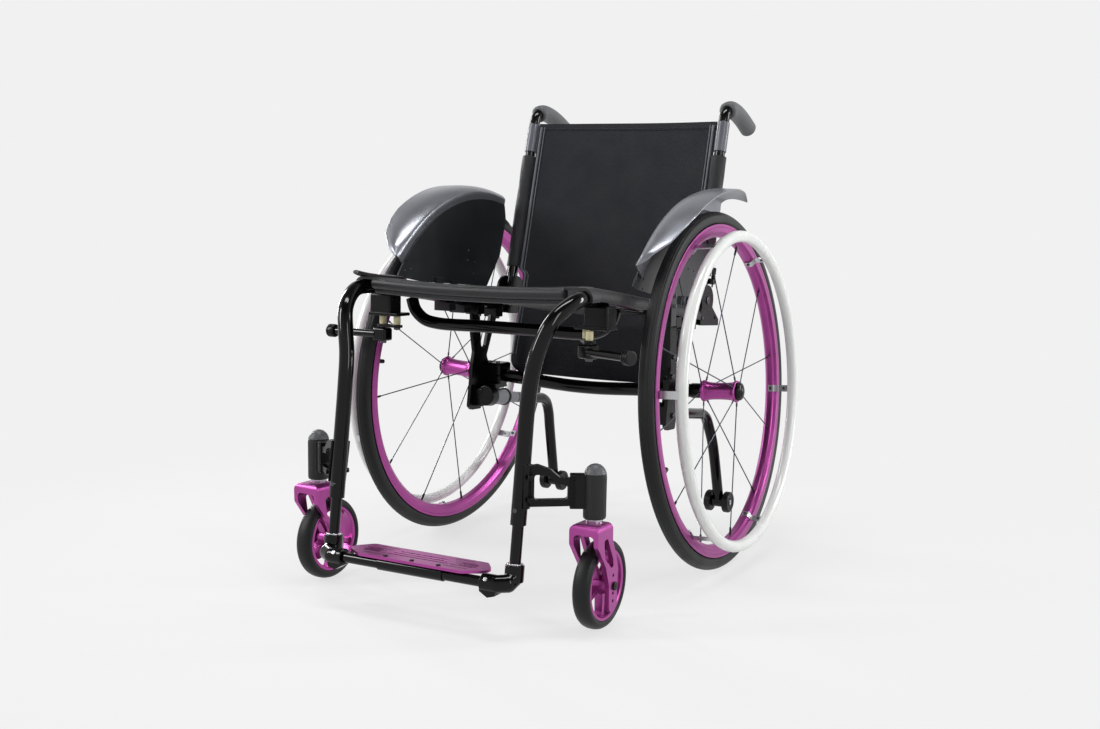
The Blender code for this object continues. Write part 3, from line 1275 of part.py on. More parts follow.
def build_brake(root, label, side, finishes):
    """Clamp on the rail, link and pressing bar of one brake."""
    pivot_x = BRAKE_PIVOT_X
    far_x = BRAKE_PIVOT_X + BRAKE_LINK_LENGTH
    link_low = BRAKE_LINK_Z - BRAKE_LINK_THICKNESS / 2
    link_high = BRAKE_LINK_Z + BRAKE_LINK_THICKNESS / 2
    ceiling = link_high + BUSHING_HEIGHT

    def upright(x, low, high, radius, sides=BUSHING_SIDES):
        return rod((side * x, BRAKE_Y, low), (side * x, BRAKE_Y, high), radius, sides)

    clamp_top = rail_point(BRAKE_Y).z - 0.0095
    clamp_outer = RAIL_X + BRAKE_CLAMP_HALF_WIDTH
    clamp = box((side * (RAIL_X - BRAKE_CLAMP_HALF_WIDTH), BRAKE_Y - 0.015, ceiling + 0.002),
                (side * clamp_outer, BRAKE_Y + 0.015, clamp_top), 0.0015)
    base = box((side * (BRAKE_PIVOT_X - 0.0125), BRAKE_Y - 0.017, ceiling),
               (side * (clamp_outer + 0.001), BRAKE_Y + 0.017, ceiling + 0.005), 0.001)
    head_high = link_low - TOUCH
    head_low = head_high - 0.003
    union(
        clamp,
        base,
        upright(pivot_x, link_high + TOUCH, ceiling + 0.002, BUSHING_RADIUS),
        upright(pivot_x, head_low, ceiling, BRAKE_PIN_RADIUS),
        upright(pivot_x, head_low, head_high, BUSHING_RADIUS),
    )
    cut(clamp, rail_cutter(side))
    settle(clamp, f"brake_clamp_{label}", finishes["black_metal"], root)

    swing = Joint(f"brake_swing_{label}", (side * pivot_x, BRAKE_Y, BRAKE_LINK_Z), root)
    link = box((side * (pivot_x - 0.001), BRAKE_Y - BRAKE_LINK_HALF_WIDTH, link_low),
               (side * (far_x + 0.001), BRAKE_Y + BRAKE_LINK_HALF_WIDTH, link_high))
    bar_high = BRAKE_BAR_Z + 0.0100
    bar_low = BRAKE_BAR_Z - 0.0105
    union(
        link,
        upright(pivot_x, link_low, link_high, BRAKE_LINK_END_RADIUS, TUBE_SIDES),
        upright(far_x, link_low, link_high, BRAKE_LINK_END_RADIUS, TUBE_SIDES),
        upright(far_x, link_low, ceiling - TOUCH, BUSHING_RADIUS),
        upright(far_x, bar_low - 0.004, link_high, BRAKE_PIN_RADIUS),
        upright(far_x, bar_low - 0.004, bar_low - TOUCH, BUSHING_RADIUS),
    )
    hole = around(BRAKE_PIN_RADIUS + RUNNING, BUSHING_SIDES)
    cut(link, upright(pivot_x, link_low - 0.01, link_high + 0.01, hole))
    pivot = Vector((side * pivot_x, BRAKE_Y, BRAKE_LINK_Z))
    turn = turn_about(pivot, BRAKE_LINK_TURN[label])
    link.data.transform(turn)
    settle(link, f"brake_link_{label}", finishes["black_metal"], swing)

    far = Vector((side * far_x, BRAKE_Y, BRAKE_BAR_Z))
    press = Joint(f"brake_press_{label}", turn @ far, swing)
    arm = box((side * (far_x - 0.0125), BRAKE_Y - 0.0125, bar_low),
              (side * (far_x + 0.0125), BRAKE_Y + 0.0085, bar_high), 0.002)
    start = (side * (far_x + 0.008), BRAKE_BAR_Y, BRAKE_BAR_Z)
    end = (side * BRAKE_BAR_END_X, BRAKE_BAR_Y, BRAKE_BAR_Z)
    tip = (side * (BRAKE_BAR_END_X + BRAKE_KNOB_LENGTH), BRAKE_BAR_Y, BRAKE_BAR_Z)
    knob_start = (side * (BRAKE_BAR_END_X - 0.001), BRAKE_BAR_Y, BRAKE_BAR_Z)
    union(arm, rod(start, end, BRAKE_BAR_RADIUS, 12), rod(knob_start, tip, BRAKE_KNOB_RADIUS, 12))
    cut(arm, upright(far_x, bar_low - 0.01, bar_high + 0.01, hole))
    arm.data.transform(turn @ turn_about(far, BRAKE_BAR_RATIO * BRAKE_LINK_TURN[label]))
    settle(arm, f"brake_arm_{label}", finishes["black_metal"], press)


def build_wheelchair():
    """Builds every piece in order."""
    clear_scene()
    finishes = {
        "black_gloss": finish("gloss_black_paint", "0B0B0C", 0.12),
        "black_metal": finish("black_anodised_aluminium", "151516", 0.38, 0.6),
        "black_plastic": finish("black_moulded_plastic", "1C1D1F", 0.45),
        "magenta": finish("magenta_anodised_aluminium", "A8328C", 0.30, 0.85),
        "rubber": finish("tyre_rubber", "2B2D2F", 0.75),
        "white": finish("white_coated_ring", "DDE0DF", 0.35),
        "dark_steel": finish("dark_spoke_steel", "33343A", 0.35, 0.9),
        "grey": finish("grey_anodised_tube", "6E6F72", 0.40, 0.7),
        "fabric": finish("black_nylon_fabric", "1B1C20", 0.85),
        "guard": finish("black_guard_plastic", "17191C", 0.55),
        "fender": finish("grey_fender_plastic", "5A5C61", 0.30),
    }
    root = Joint("wheelchair", (0, 0, 0))
    build_frame(root, finishes["black_gloss"])
    build_seat(root, finishes["fabric"])
    build_back(root, finishes)
    build_footrest(root, finishes)
    for label, side in SIDES:
        build_axle_mount(root, label, side, finishes["black_metal"])
        build_anti_tip(root, label, side, finishes["black_gloss"], finishes["grey"],
                       finishes["rubber"])
        build_rear_wheel(root, label, side, finishes)
        build_caster(root, label, side, finishes)
        build_guard(root, label, side, finishes["guard"], finishes["fender"])
        build_brake(root, label, side, finishes)


build_wheelchair()
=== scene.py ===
"""Fine surfaces, finishes, studio and camera for a wheelchair with a fold-down back.

Lengths are metres. Shapes are made in the chair's own frame: x from the middle plane, y behind
the rear axle, z above the floor. The right side has positive x and the chair faces -y. Finished
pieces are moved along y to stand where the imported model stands.
"""

from __future__ import annotations

import json
import logging
from dataclasses import dataclass
from enum import Enum
from math import atan, copysign, cos, pi, radians, sin, sqrt, tan
from typing import Any, Iterable, Sequence

import bmesh
import bpy
from mathutils import Matrix, Vector

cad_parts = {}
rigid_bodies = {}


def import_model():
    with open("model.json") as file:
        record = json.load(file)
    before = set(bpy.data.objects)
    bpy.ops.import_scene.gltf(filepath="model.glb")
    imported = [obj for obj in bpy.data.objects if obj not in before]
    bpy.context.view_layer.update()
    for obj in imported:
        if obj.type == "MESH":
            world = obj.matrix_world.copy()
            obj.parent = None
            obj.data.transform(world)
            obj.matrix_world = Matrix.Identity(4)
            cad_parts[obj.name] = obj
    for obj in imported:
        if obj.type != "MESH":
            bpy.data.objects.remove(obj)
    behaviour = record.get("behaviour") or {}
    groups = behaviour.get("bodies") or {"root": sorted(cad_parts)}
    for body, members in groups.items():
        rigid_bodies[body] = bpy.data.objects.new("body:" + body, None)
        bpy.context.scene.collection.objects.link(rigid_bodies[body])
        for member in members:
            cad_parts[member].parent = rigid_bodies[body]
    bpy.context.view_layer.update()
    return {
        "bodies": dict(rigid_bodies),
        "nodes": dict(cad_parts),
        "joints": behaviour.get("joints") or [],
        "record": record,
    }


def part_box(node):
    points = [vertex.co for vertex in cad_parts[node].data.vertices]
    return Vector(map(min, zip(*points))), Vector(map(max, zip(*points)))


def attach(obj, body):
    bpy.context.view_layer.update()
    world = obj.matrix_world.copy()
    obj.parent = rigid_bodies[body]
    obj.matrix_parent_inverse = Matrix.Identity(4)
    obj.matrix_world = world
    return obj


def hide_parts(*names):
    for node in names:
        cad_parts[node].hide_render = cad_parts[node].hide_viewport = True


LOG = logging.getLogger("wheelchair")
Place = Sequence[float]
MERGE = 0.000004  # corners nearer than this are one corner
TOUCH = 0.0003  # the gap between two pieces that meet
SHARP = 0.0  # no rounded edge, for cutters and for bars that end inside another
SNUG = 0.0002  # how far a bore or a saddle stands off from the tube in it
TURN = 2 * pi
ACROSS = Matrix.Rotation(pi / 2, 4, "Y")  # lays what stands upright across the chair


class Side(Enum):
    """Which side of the chair a piece is on, with the sign of its x."""

    LEFT = -1
    RIGHT = 1

    @property
    def label(self) -> str:
        """The side's name, as node names end."""
        return self.name.lower()

    def pick(self, left: float, right: float) -> float:
        """The value that belongs to this side."""
        return right if self is Side.RIGHT else left


class Plane(Enum):
    """Which way a flat outline lies, as its two axes and its normal in the chair's axes."""

    SIDE = ((0, 1, 0), (0, 0, 1), (1, 0, 0))
    LEVEL = ((1, 0, 0), (0, 1, 0), (0, 0, 1))
    FRONT = ((1, 0, 0), (0, 0, 1), (0, -1, 0))
    ALONG = ((1, 0, 0), (0, 0, -1), (0, 1, 0))

    @property
    def matrix(self) -> Matrix:
        """The turn from the outline's axes to the chair's axes."""
        return Matrix(self.value).transposed().to_4x4()


class Grain(Enum):
    """The fine pattern on a finish."""

    PEEL = "the soft ripple of sprayed and baked paint"
    BLASTED = "the fine pits of bead-blasted metal"
    BRUSHED = "fine lines left by a belt"
    MOULDED = "the grain of a spark-eroded mould"
    WOVEN = "a plain weave of flat threads"
    SPACER = "knitted spacer mesh with rows of eyelets"


# Curves and outlines
def smooth_path(places: Iterable[Place], spacing: float = 0.006) -> list[Vector]:
    """Even points along a curve that passes smoothly through a few places.

    Args:
        places: The places that the curve passes through.
        spacing: The distance between the points returned, roughly.

    Returns:
        Points from the first place to the last.
    """
    points = [Vector(place) for place in places]
    ends = [2 * points[0] - points[1], *points, 2 * points[-1] - points[-2]]
    path: list[Vector] = []
    for p0, p1, p2, p3 in zip(ends, ends[1:], ends[2:], ends[3:]):
        t1 = sqrt((p1 - p0).length)
        t2 = t1 + sqrt((p2 - p1).length)
        t3 = t2 + sqrt((p3 - p2).length)
        steps = max(1, round((p2 - p1).length / spacing))
        for step in range(steps):
            t = t1 + (t2 - t1) * step / steps
            a1 = p0.lerp(p1, t / t1)
            a2 = p1.lerp(p2, (t - t1) / (t2 - t1))
            a3 = p2.lerp(p3, (t - t2) / (t3 - t2))
            b1 = a1.lerp(a2, t / t2)
            b2 = a2.lerp(a3, (t - t1) / (t3 - t1))
            path.append(b1.lerp(b2, (t - t1) / (t2 - t1)))
    return [*path, points[-1]]


def rounded(outline: Sequence[Place], radius: float, steps: int = 5) -> list[tuple[float, float]]:
    """An outline with each corner turned into a short curve.

    Args:
        outline: The corners of a closed flat shape.
        radius: How round the corners are; a short edge makes its corners tighter.
        steps: The number of pieces in each corner's curve.

    Returns:
        The points of the rounded outline.
    """
    corners = [Vector(corner).to_2d() for corner in outline]
    result = []
    for i, corner in enumerate(corners):
        back = corners[i - 1] - corner
        ahead = corners[(i + 1) % len(corners)] - corner
        if back.length < MERGE or ahead.length < MERGE:
            continue
        half = back.angle(ahead) / 2
        cut = min(radius / tan(max(half, 0.05)), 0.48 * back.length, 0.48 * ahead.length)
        start = corner + back.normalized() * cut
        end = corner + ahead.normalized() * cut
        if pi / 2 - half < 0.03:
            result.append(tuple(corner))
            continue
        for step in range(steps + 1):
            t = step / steps
            spot = start * (1 - t) ** 2 + corner * (2 * t * (1 - t)) + end * t**2
            result.append(tuple(spot))
    return result


def circle(x: float, y: float, radius: float, sides: int = 24) -> list[tuple[float, float]]:
    """The points of a circle in a flat outline's axes."""
    turns = [TURN * i / sides for i in range(sides)]
    return [(x + radius * cos(turn), y + radius * sin(turn)) for turn in turns]


def arc(
    x: float, y: float, radius: float, first: float, last: float, steps: int
) -> list[tuple[float, float]]:
    """Even points on part of a circle in a flat outline's axes.

    Args:
        x: The middle's first axis.
        y: The middle's second axis.
        radius: The circle's radius.
        first: The angle at which it starts, in degrees.
        last: The angle at which it ends.
        steps: The number of stretches between them.

    Returns:
        The points.
    """
    turns = [radians(first + (last - first) * i / steps) for i in range(steps + 1)]
    return [(x + radius * cos(turn), y + radius * sin(turn)) for turn in turns]


def mirrored(half: Sequence[Place]) -> list[tuple[float, float]]:
    """A turned section's half, followed by its mirror image in the section's middle plane."""
    return [*map(tuple, half), *((radius, -height) for radius, height in reversed(half))]


def along_table(table: Sequence[Place], value: float) -> float:
    """The value between two rows of a short table, in proportion.

    Args:
        table: Rows of a place and its value, in order.
        value: The place.

    Returns:
        The value there.
    """
    for (low, low_value), (high, high_value) in zip(table, table[1:]):
        if value <= high:
            share = max(0.0, (value - low) / (high - low))
            return low_value + share * (high_value - low_value)
    return table[-1][1]


# Meshes
def linked(name: str, data: bpy.types.ID) -> bpy.types.Object:
    """A new object in the scene's own collection.

    Args:
        name: The object's name.
        data: Its mesh, curve, lamp or camera.

    Returns:
        The object.
    """
    item = bpy.data.objects.new(name, data)
    bpy.context.scene.collection.objects.link(item)
    return item


def baked(item: bpy.types.Object) -> bpy.types.Mesh:
    """The plain mesh that an object has after its modifiers.

    Args:
        item: The object.

    Returns:
        A new mesh.
    """
    bpy.context.view_layer.update()
    graph = bpy.context.evaluated_depsgraph_get()
    return bpy.data.meshes.new_from_object(item.evaluated_get(graph))


def curve_through(name: str, loops: Sequence[Sequence[Place]], closed: bool) -> bpy.types.Object:
    """A curve with straight stretches through the points of each loop.

    Args:
        name: The curve's name.
        loops: The points of each stretch, in two or three axes.
        closed: Whether each one is a closed loop.

    Returns:
        The curve's object.
    """
    curve = bpy.data.curves.new(name, "CURVE")
    for loop in loops:
        spline = curve.splines.new("POLY")
        spline.points.add(len(loop) - 1)
        spline.use_cyclic_u = closed
        for target, point in zip(spline.points, loop):
            target.co = (*Vector(point).to_3d(), 1)
    return linked(name, curve)


class Shape:
    """A working mesh that grows step by step into a piece."""

    def __init__(self, mesh: bpy.types.Mesh) -> None:
        """Wraps a mesh in an object.

        Args:
            mesh: The mesh to work on.
        """
        self.item = linked("shape", mesh)

    @classmethod
    def from_bmesh(cls, bm: bmesh.types.BMesh) -> Shape:
        """Turns a closed bmesh into a shape whose faces point outwards.

        Args:
            bm: The bmesh; it is used up.

        Returns:
            The shape.
        """
        bmesh.ops.remove_doubles(bm, verts=bm.verts, dist=MERGE)
        bmesh.ops.recalc_face_normals(bm, faces=bm.faces)
        mesh = bpy.data.meshes.new("shape")
        bm.to_mesh(mesh)
        bm.free()
        return cls(mesh)

    @classmethod
    def skin(cls, rings: Sequence[Sequence[Vector]], ends: bool = True, loop: bool = False) -> Shape:
        """A closed surface through rings of as many points each.

        Args:
            rings: The rings, in order.
            ends: Whether the first and the last ring are filled.
            loop: Whether the last ring joins the first.

        Returns:
            The shape.
        """
        bm = bmesh.new()
        rows = [[bm.verts.new(point) for point in ring] for ring in rings]
        pairs = list(zip(rows, rows[1:])) + ([(rows[-1], rows[0])] if loop else [])
        for near, far in pairs:
            for i in range(len(near)):
                j = (i + 1) % len(near)
                bm.faces.new((near[i], near[j], far[j], far[i]))
        if ends and not loop:
            bm.faces.new(rows[0])
            bm.faces.new(rows[-1])
        return cls.from_bmesh(bm)

    @classmethod
    def sweep(cls, path: Sequence[Place], radius: float, sides: int = 28, edge: float = 0.0008) -> Shape:
        """A round bar or tube along a path, with slightly rounded ends.

        Args:
            path: Points along the middle line.
            radius: The tube's radius.
            sides: The number of faces around it.
            edge: How far each end's edge is rounded.

        Returns:
            The shape.
        """
        points = [Vector(point) for point in path]
        tangents = []
        for i in range(len(points)):
            ahead = points[min(i + 1, len(points) - 1)] - points[max(i - 1, 0)]
            tangents.append(ahead.normalized())
        quarter = [radians(angle) for angle in (0, 30, 60, 90)] if edge else [0.0]
        stations = [
            (points[0] + tangents[0] * edge * (1 - cos(angle)), tangents[0], radius - edge * (1 - sin(angle)))
            for angle in quarter]
        stations += [(p, t, radius) for p, t in zip(points[1:-1], tangents[1:-1])]
        stations += [
            (points[-1] - tangents[-1] * edge * (1 - cos(angle)), tangents[-1],
             radius - edge * (1 - sin(angle)))
            for angle in reversed(quarter)]
        normal = tangents[0].orthogonal().normalized()
        before = tangents[0]
        rings = []
        for place, tangent, size in stations:
            normal = before.rotation_difference(tangent) @ normal
            normal = (normal - tangent * normal.dot(tangent)).normalized()
            across = tangent.cross(normal)
            before = tangent
            rings.append([
                place + (normal * cos(TURN * i / sides) + across * sin(TURN * i / sides)) * size
                for i in range(sides)
            ])
        return cls.skin(rings)

    @classmethod
    def lathe(cls, profile: Sequence[Place], sides: int = 48, closed: bool = False) -> Shape:
        """A section of radius and height turned about the z axis.

        Args:
            profile: The section's points. An open one starts and ends on the axis.
            sides: The number of faces around it.
            closed: Whether the section is a closed loop beside the axis.

        Returns:
            The shape.
        """
        rings = []
        for i in range(sides):
            turn = TURN * i / sides
            rings.append(
                [Vector((radius * cos(turn), radius * sin(turn), height)) for radius, height in profile])
        bm = bmesh.new()
        rows = [[bm.verts.new(point) for point in ring] for ring in rings]
        count = len(profile)
        for i in range(sides):
            near, far = rows[i], rows[(i + 1) % sides]
            for j in range(count if closed else count - 1):
                k = (j + 1) % count
                bm.faces.new((near[j], near[k], far[k], far[j]))
        bmesh.ops.remove_doubles(bm, verts=bm.verts, dist=MERGE)
        bmesh.ops.dissolve_degenerate(bm, edges=bm.edges, dist=MERGE)
        return cls.from_bmesh(bm)

    @classmethod
    def rod(cls, start: Place, end: Place, radius: float, sides: int = 24, edge: float = 0.0006) -> Shape:
        """A straight round bar from one point to another, with rounded edges."""
        return cls.sweep([start, end], radius, sides, edge)

    @classmethod
    def slab(
        cls,
        outline: Sequence[Place],
        thickness: float,
        plane: Plane | Matrix = Plane.LEVEL,
        middle: float = 0.0,
        holes: Sequence[Sequence[Place]] = (),
        edge: float = 0.0006,
    ) -> Shape:
        """A flat outline with holes, given a thickness and slightly rounded edges.

        Args:
            outline: The points of the outline.
            thickness: The finished thickness.
            plane: Which way it lies, or a full matrix.
            middle: Where the middle of the thickness lies along the normal.
            holes: The outlines of the holes.
            edge: The radius of the rounded edges.

        Returns:
            The shape.
        """
        item = curve_through("outline", (outline, *holes), closed=True)
        item.data.dimensions = "2D"
        item.data.fill_mode = "BOTH"
        item.data.extrude = thickness / 2
        bm = bmesh.new()
        bm.from_mesh(baked(item))
        bpy.data.objects.remove(item, do_unlink=True)
        made = cls.from_bmesh(bm)
        if edge:
            made.soften(edge, 2, 40)
        lie = plane.matrix if isinstance(plane, Plane) else plane
        return made.place(lie @ Matrix.Translation((0, 0, middle)))

    @classmethod
    def block(cls, low: Place, high: Place, edge: float = 0.001, segments: int = 2) -> Shape:
        """A box from its lowest to its highest corner, with rounded edges.

        Args:
            low: One corner.
            high: The opposite corner.
            edge: The radius of the edges.
            segments: The faces across each edge.

        Returns:
            The shape.
        """
        low, high = Vector(map(min, low, high)), Vector(map(max, low, high))
        bm = bmesh.new()
        bmesh.ops.create_cube(bm, size=1.0)
        for vert in bm.verts:
            share = vert.co + Vector((0.5, 0.5, 0.5))
            vert.co = Vector(low[i] + (high[i] - low[i]) * share[i] for i in range(3))
        if edge:
            bmesh.ops.bevel(bm, geom=bm.edges[:], offset=edge, segments=segments, profile=0.5, affect="EDGES")
        return cls.from_bmesh(bm)

    @classmethod
    def ball(cls, middle: Place, radius: float) -> Shape:
        """A ball about a point.

        Args:
            middle: Its middle.
            radius: Its radius.

        Returns:
            The shape.
        """
        profile = [(radius * cos(radians(a)), radius * sin(radians(a))) for a in range(-90, 91, 10)]
        return cls.lathe(profile, 36).place(Matrix.Translation(middle))

    @classmethod
    def hexagon(cls, start: Place, end: Place, width: float) -> Shape:
        """A hexagonal bolt head or nut from one point to another, by its width over flats."""
        return cls.sweep([start, end], width / sqrt(3), 6, 0.0004)

    @classmethod
    def sheet(cls, rows: Sequence[Sequence[Vector]], thickness: float) -> Shape:
        """An open grid of points made into a sheet that is thick to both sides.

        Args:
            rows: Rows of as many points each.
            thickness: The sheet's thickness.

        Returns:
            The shape.
        """
        count = len(rows)
        span = len(rows[0])
        normals = []
        for i in range(count):
            line = []
            for j in range(span):
                along = rows[min(i + 1, count - 1)][j] - rows[max(i - 1, 0)][j]
                across = rows[i][min(j + 1, span - 1)] - rows[i][max(j - 1, 0)]
                line.append(along.cross(across).normalized() * thickness / 2)
            normals.append(line)
        rings = []
        for row, line in zip(rows, normals):
            top = [point + normal for point, normal in zip(row, line)]
            low = [point - normal for point, normal in zip(row, line)]
            rings.append(top + low[::-1])
        return cls.skin(rings)

    def place(self, matrix: Matrix) -> Shape:
        """Moves the mesh itself by a matrix; a mirroring one keeps the faces outwards.

        Args:
            matrix: The move, turn or mirroring.

        Returns:
            This shape.
        """
        self.item.data.transform(matrix)
        if matrix.determinant() < 0:
            self.item.data.flip_normals()
        return self

    def copy(self) -> Shape:
        """A second shape with a mesh of its own."""
        return Shape(self.item.data.copy())

    def bake(self) -> Shape:
        """Applies every modifier and leaves a plain mesh.

        Returns:
            This shape.
        """
        mesh = baked(self.item)
        self.item.modifiers.clear()
        self.item.data = mesh
        return self

    def _boolean(self, operation: str, others: Sequence[Shape]) -> Shape:
        """Applies one Boolean for each of the other shapes, and removes those.

        Args:
            operation: Blender's name of the operation.
            others: The other shapes.

        Returns:
            This shape.
        """
        for other in others:
            step = self.item.modifiers.new("step", "BOOLEAN")
            step.operation = operation
            step.solver = "EXACT"
            step.object = other.item
            self.bake()
            other.drop()
        return self

    def fuse(self, *others: Shape) -> Shape:
        """Joins other shapes into this one as one solid."""
        return self._boolean("UNION", others)

    def carve(self, *others: Shape) -> Shape:
        """Cuts other shapes out of this one."""
        return self._boolean("DIFFERENCE", others)

    def common(self, other: Shape) -> Shape:
        """Keeps what lies in both shapes."""
        return self._boolean("INTERSECT", [other])

    def soften(self, width: float, segments: int = 2, angle: float = 35) -> Shape:
        """Rounds every edge that is sharper than an angle in degrees.

        Args:
            width: How far each edge is rounded.
            segments: The faces across an edge.
            angle: The angle, in degrees.

        Returns:
            This shape.
        """
        step = self.item.modifiers.new("edges", "BEVEL")
        step.width = width
        step.segments = segments
        step.limit_method = "ANGLE"
        step.angle_limit = radians(angle)
        return self.bake()

    def gather(self, *others: Shape) -> Shape:
        """Takes other closed meshes into this one as they are, and removes those.

        Args:
            others: The other shapes.

        Returns:
            This shape.
        """
        bm = bmesh.new()
        bm.from_mesh(self.item.data)
        for other in others:
            bm.from_mesh(other.item.data)
            other.drop()
        bm.to_mesh(self.item.data)
        bm.free()
        return self

    @classmethod
    def joined(cls, shapes: Sequence[Shape]) -> Shape:
        """Several closed meshes as one shape."""
        return shapes[0].gather(*shapes[1:])

    def drop(self) -> None:
        """Removes the working object."""
        bpy.data.objects.remove(self.item, do_unlink=True)


# Materials
def linear(colour: str) -> tuple[float, float, float, float]:
    """An sRGB hex colour as linear light with full alpha.

    Args:
        colour: Six hex digits.

    Returns:
        Red, green, blue and alpha.
    """
    channels = [int(colour[i : i + 2], 16) / 255 for i in (0, 2, 4)]
    turned = [v / 12.92 if v <= 0.04045 else ((v + 0.055) / 1.055) ** 2.4 for v in channels]
    return (*turned, 1.0)


def add_node(
    tree: bpy.types.NodeTree,
    kind: str,
    inputs: dict[str | int, Any] | None = None,
    get: str | int | None = 0,
    **settings: Any,
) -> Any:
    """Adds a node with its settings, its values and the links into it.

    Args:
        tree: The tree that gets the node.
        kind: The node's type name.
        inputs: A value or an output socket for each input, by name or number.
        get: The output that is returned, by name or number, or None for the node.
        settings: The node's own settings.

    Returns:
        That output, or the node itself where it is asked for or has no output.
    """
    item = tree.nodes.new(kind)
    for name, value in settings.items():
        setattr(item, name, value)
    for key, value in (inputs or {}).items():
        if isinstance(value, bpy.types.NodeSocket):
            tree.links.new(value, item.inputs[key])
        else:
            item.inputs[key].default_value = value
    return item if get is None or not item.outputs else item.outputs[get]


@dataclass(frozen=True)
class Finish:
    """A real surface: its colours, gloss and fine pattern, with pattern sizes in millimetres."""

    name: str
    slot: str
    colour: str
    shade: str
    roughness: float
    metallic: float = 0.0
    grain: Grain = Grain.MOULDED
    size: float = 0.6
    depth: float = 0.01
    contrast: float = 0.25
    coat: float = 0.0
    sheen: float = 0.0
    specular: float = 0.5
    plane: Plane = Plane.LEVEL

    def _flat(self, tree: bpy.types.NodeTree, turn: float) -> bpy.types.NodeSocket:
        """Coordinates in millimetres with x and y in the cloth's plane, turned in it.

        Args:
            tree: The material's tree.
            turn: The turn in the plane.

        Returns:
            The coordinates.
        """
        place = add_node(tree, "ShaderNodeTexCoord", get="Object")
        lie = self.plane.matrix.inverted().to_euler()
        laid = add_node(tree, "ShaderNodeMapping", {"Vector": place, "Rotation": tuple(lie)})
        scale = 1000 / self.size
        return add_node(
            tree, "ShaderNodeMapping",
            {"Vector": laid, "Rotation": (0, 0, turn), "Scale": (scale, scale, scale)})

    def _weave(self, tree: bpy.types.NodeTree) -> bpy.types.NodeSocket:
        """Height of a plain weave: threads that pass over and under each other.

        Args:
            tree: The material's tree.

        Returns:
            The height, from nought to one.
        """
        flat = self._flat(tree, 0.0)
        half = 0.05 * pi  # a wave's scale for one thread a unit
        threads = [
            add_node(
                tree, "ShaderNodeTexWave",
                {"Vector": flat, "Scale": half * 2, "Distortion": 0.4, "Detail": 1.0}, get="Fac",
                bands_direction=axis) for axis in ("X", "Y")]
        over = add_node(tree, "ShaderNodeTexChecker", {"Vector": flat, "Scale": 1.0}, get="Fac")
        return add_node(tree, "ShaderNodeMix", {0: over, 2: threads[0], 3: threads[1]})

    def _spacer(self, tree: bpy.types.NodeTree) -> bpy.types.NodeSocket:
        """Height of a knitted mesh: staggered round eyelets between soft ribs.

        Args:
            tree: The material's tree.

        Returns:
            The height, from nought to one.
        """
        flat = self._flat(tree, radians(45))
        cells = add_node(
            tree, "ShaderNodeTexVoronoi", {"Vector": flat, "Scale": 1.0, "Randomness": 0.0},
            voronoi_dimensions="2D")
        return add_node(
            tree, "ShaderNodeMapRange", {0: cells, 1: 0.18, 2: 0.42}, interpolation_type="SMOOTHSTEP")

    def _noise(self, tree: bpy.types.NodeTree) -> bpy.types.NodeSocket:
        """Height of a fine random grain, drawn out along x where it is brushed.

        Args:
            tree: The material's tree.

        Returns:
            The height, from nought to one.
        """
        place = add_node(tree, "ShaderNodeTexCoord", get="Object")
        scale = 1000 / self.size
        along = scale / 24 if self.grain is Grain.BRUSHED else scale
        sized = add_node(tree, "ShaderNodeMapping", {"Vector": place, "Scale": (along, scale, scale)})
        detail = 0.0 if self.grain is Grain.PEEL else 3.0
        return add_node(tree, "ShaderNodeTexNoise", {"Vector": sized, "Scale": 1.0, "Detail": detail})

    def material(self) -> bpy.types.Material:
        """The finish as a material, made once.

        Returns:
            The material of this name.
        """
        made = bpy.data.materials.get(self.name)
        if made:
            return made
        made = bpy.data.materials.new(self.name)
        made.use_nodes = True
        tree = made.node_tree
        shader = tree.nodes["Principled BSDF"]
        constants = {
            "Metallic": self.metallic, "Coat Weight": self.coat, "Coat Roughness": 0.04,
            "Sheen Weight": self.sheen, "Sheen Roughness": 0.4, "Specular IOR Level": self.specular}
        for name, value in constants.items():
            shader.inputs[name].default_value = value
        height = {Grain.WOVEN: self._weave, Grain.SPACER: self._spacer}.get(self.grain, self._noise)(tree)
        place = add_node(tree, "ShaderNodeTexCoord", get="Object")
        cloud = add_node(tree, "ShaderNodeTexNoise", {"Vector": place, "Scale": 22.0, "Detail": 4.0})
        fine = add_node(tree, "ShaderNodeMath", {0: height, 1: 0.5}, operation="SUBTRACT")
        tone = add_node(
            tree, "ShaderNodeMath", {0: fine, 1: self.contrast * 2, 2: cloud}, operation="MULTIPLY_ADD")
        colour = add_node(
            tree, "ShaderNodeMix", {0: tone, 6: linear(self.shade), 7: linear(self.colour)}, get=2,
            data_type="RGBA")
        gloss = add_node(
            tree, "ShaderNodeMapRange",
            {0: cloud, 1: 0.3, 2: 0.7, 3: self.roughness * 0.85, 4: self.roughness * 1.15})
        bump = add_node(
            tree, "ShaderNodeBump", {"Height": height, "Distance": self.depth / 1000, "Strength": 1.0})
        tree.links.new(colour, shader.inputs["Base Color"])
        tree.links.new(gloss, shader.inputs["Roughness"])
        tree.links.new(bump, shader.inputs["Normal"])
        return made


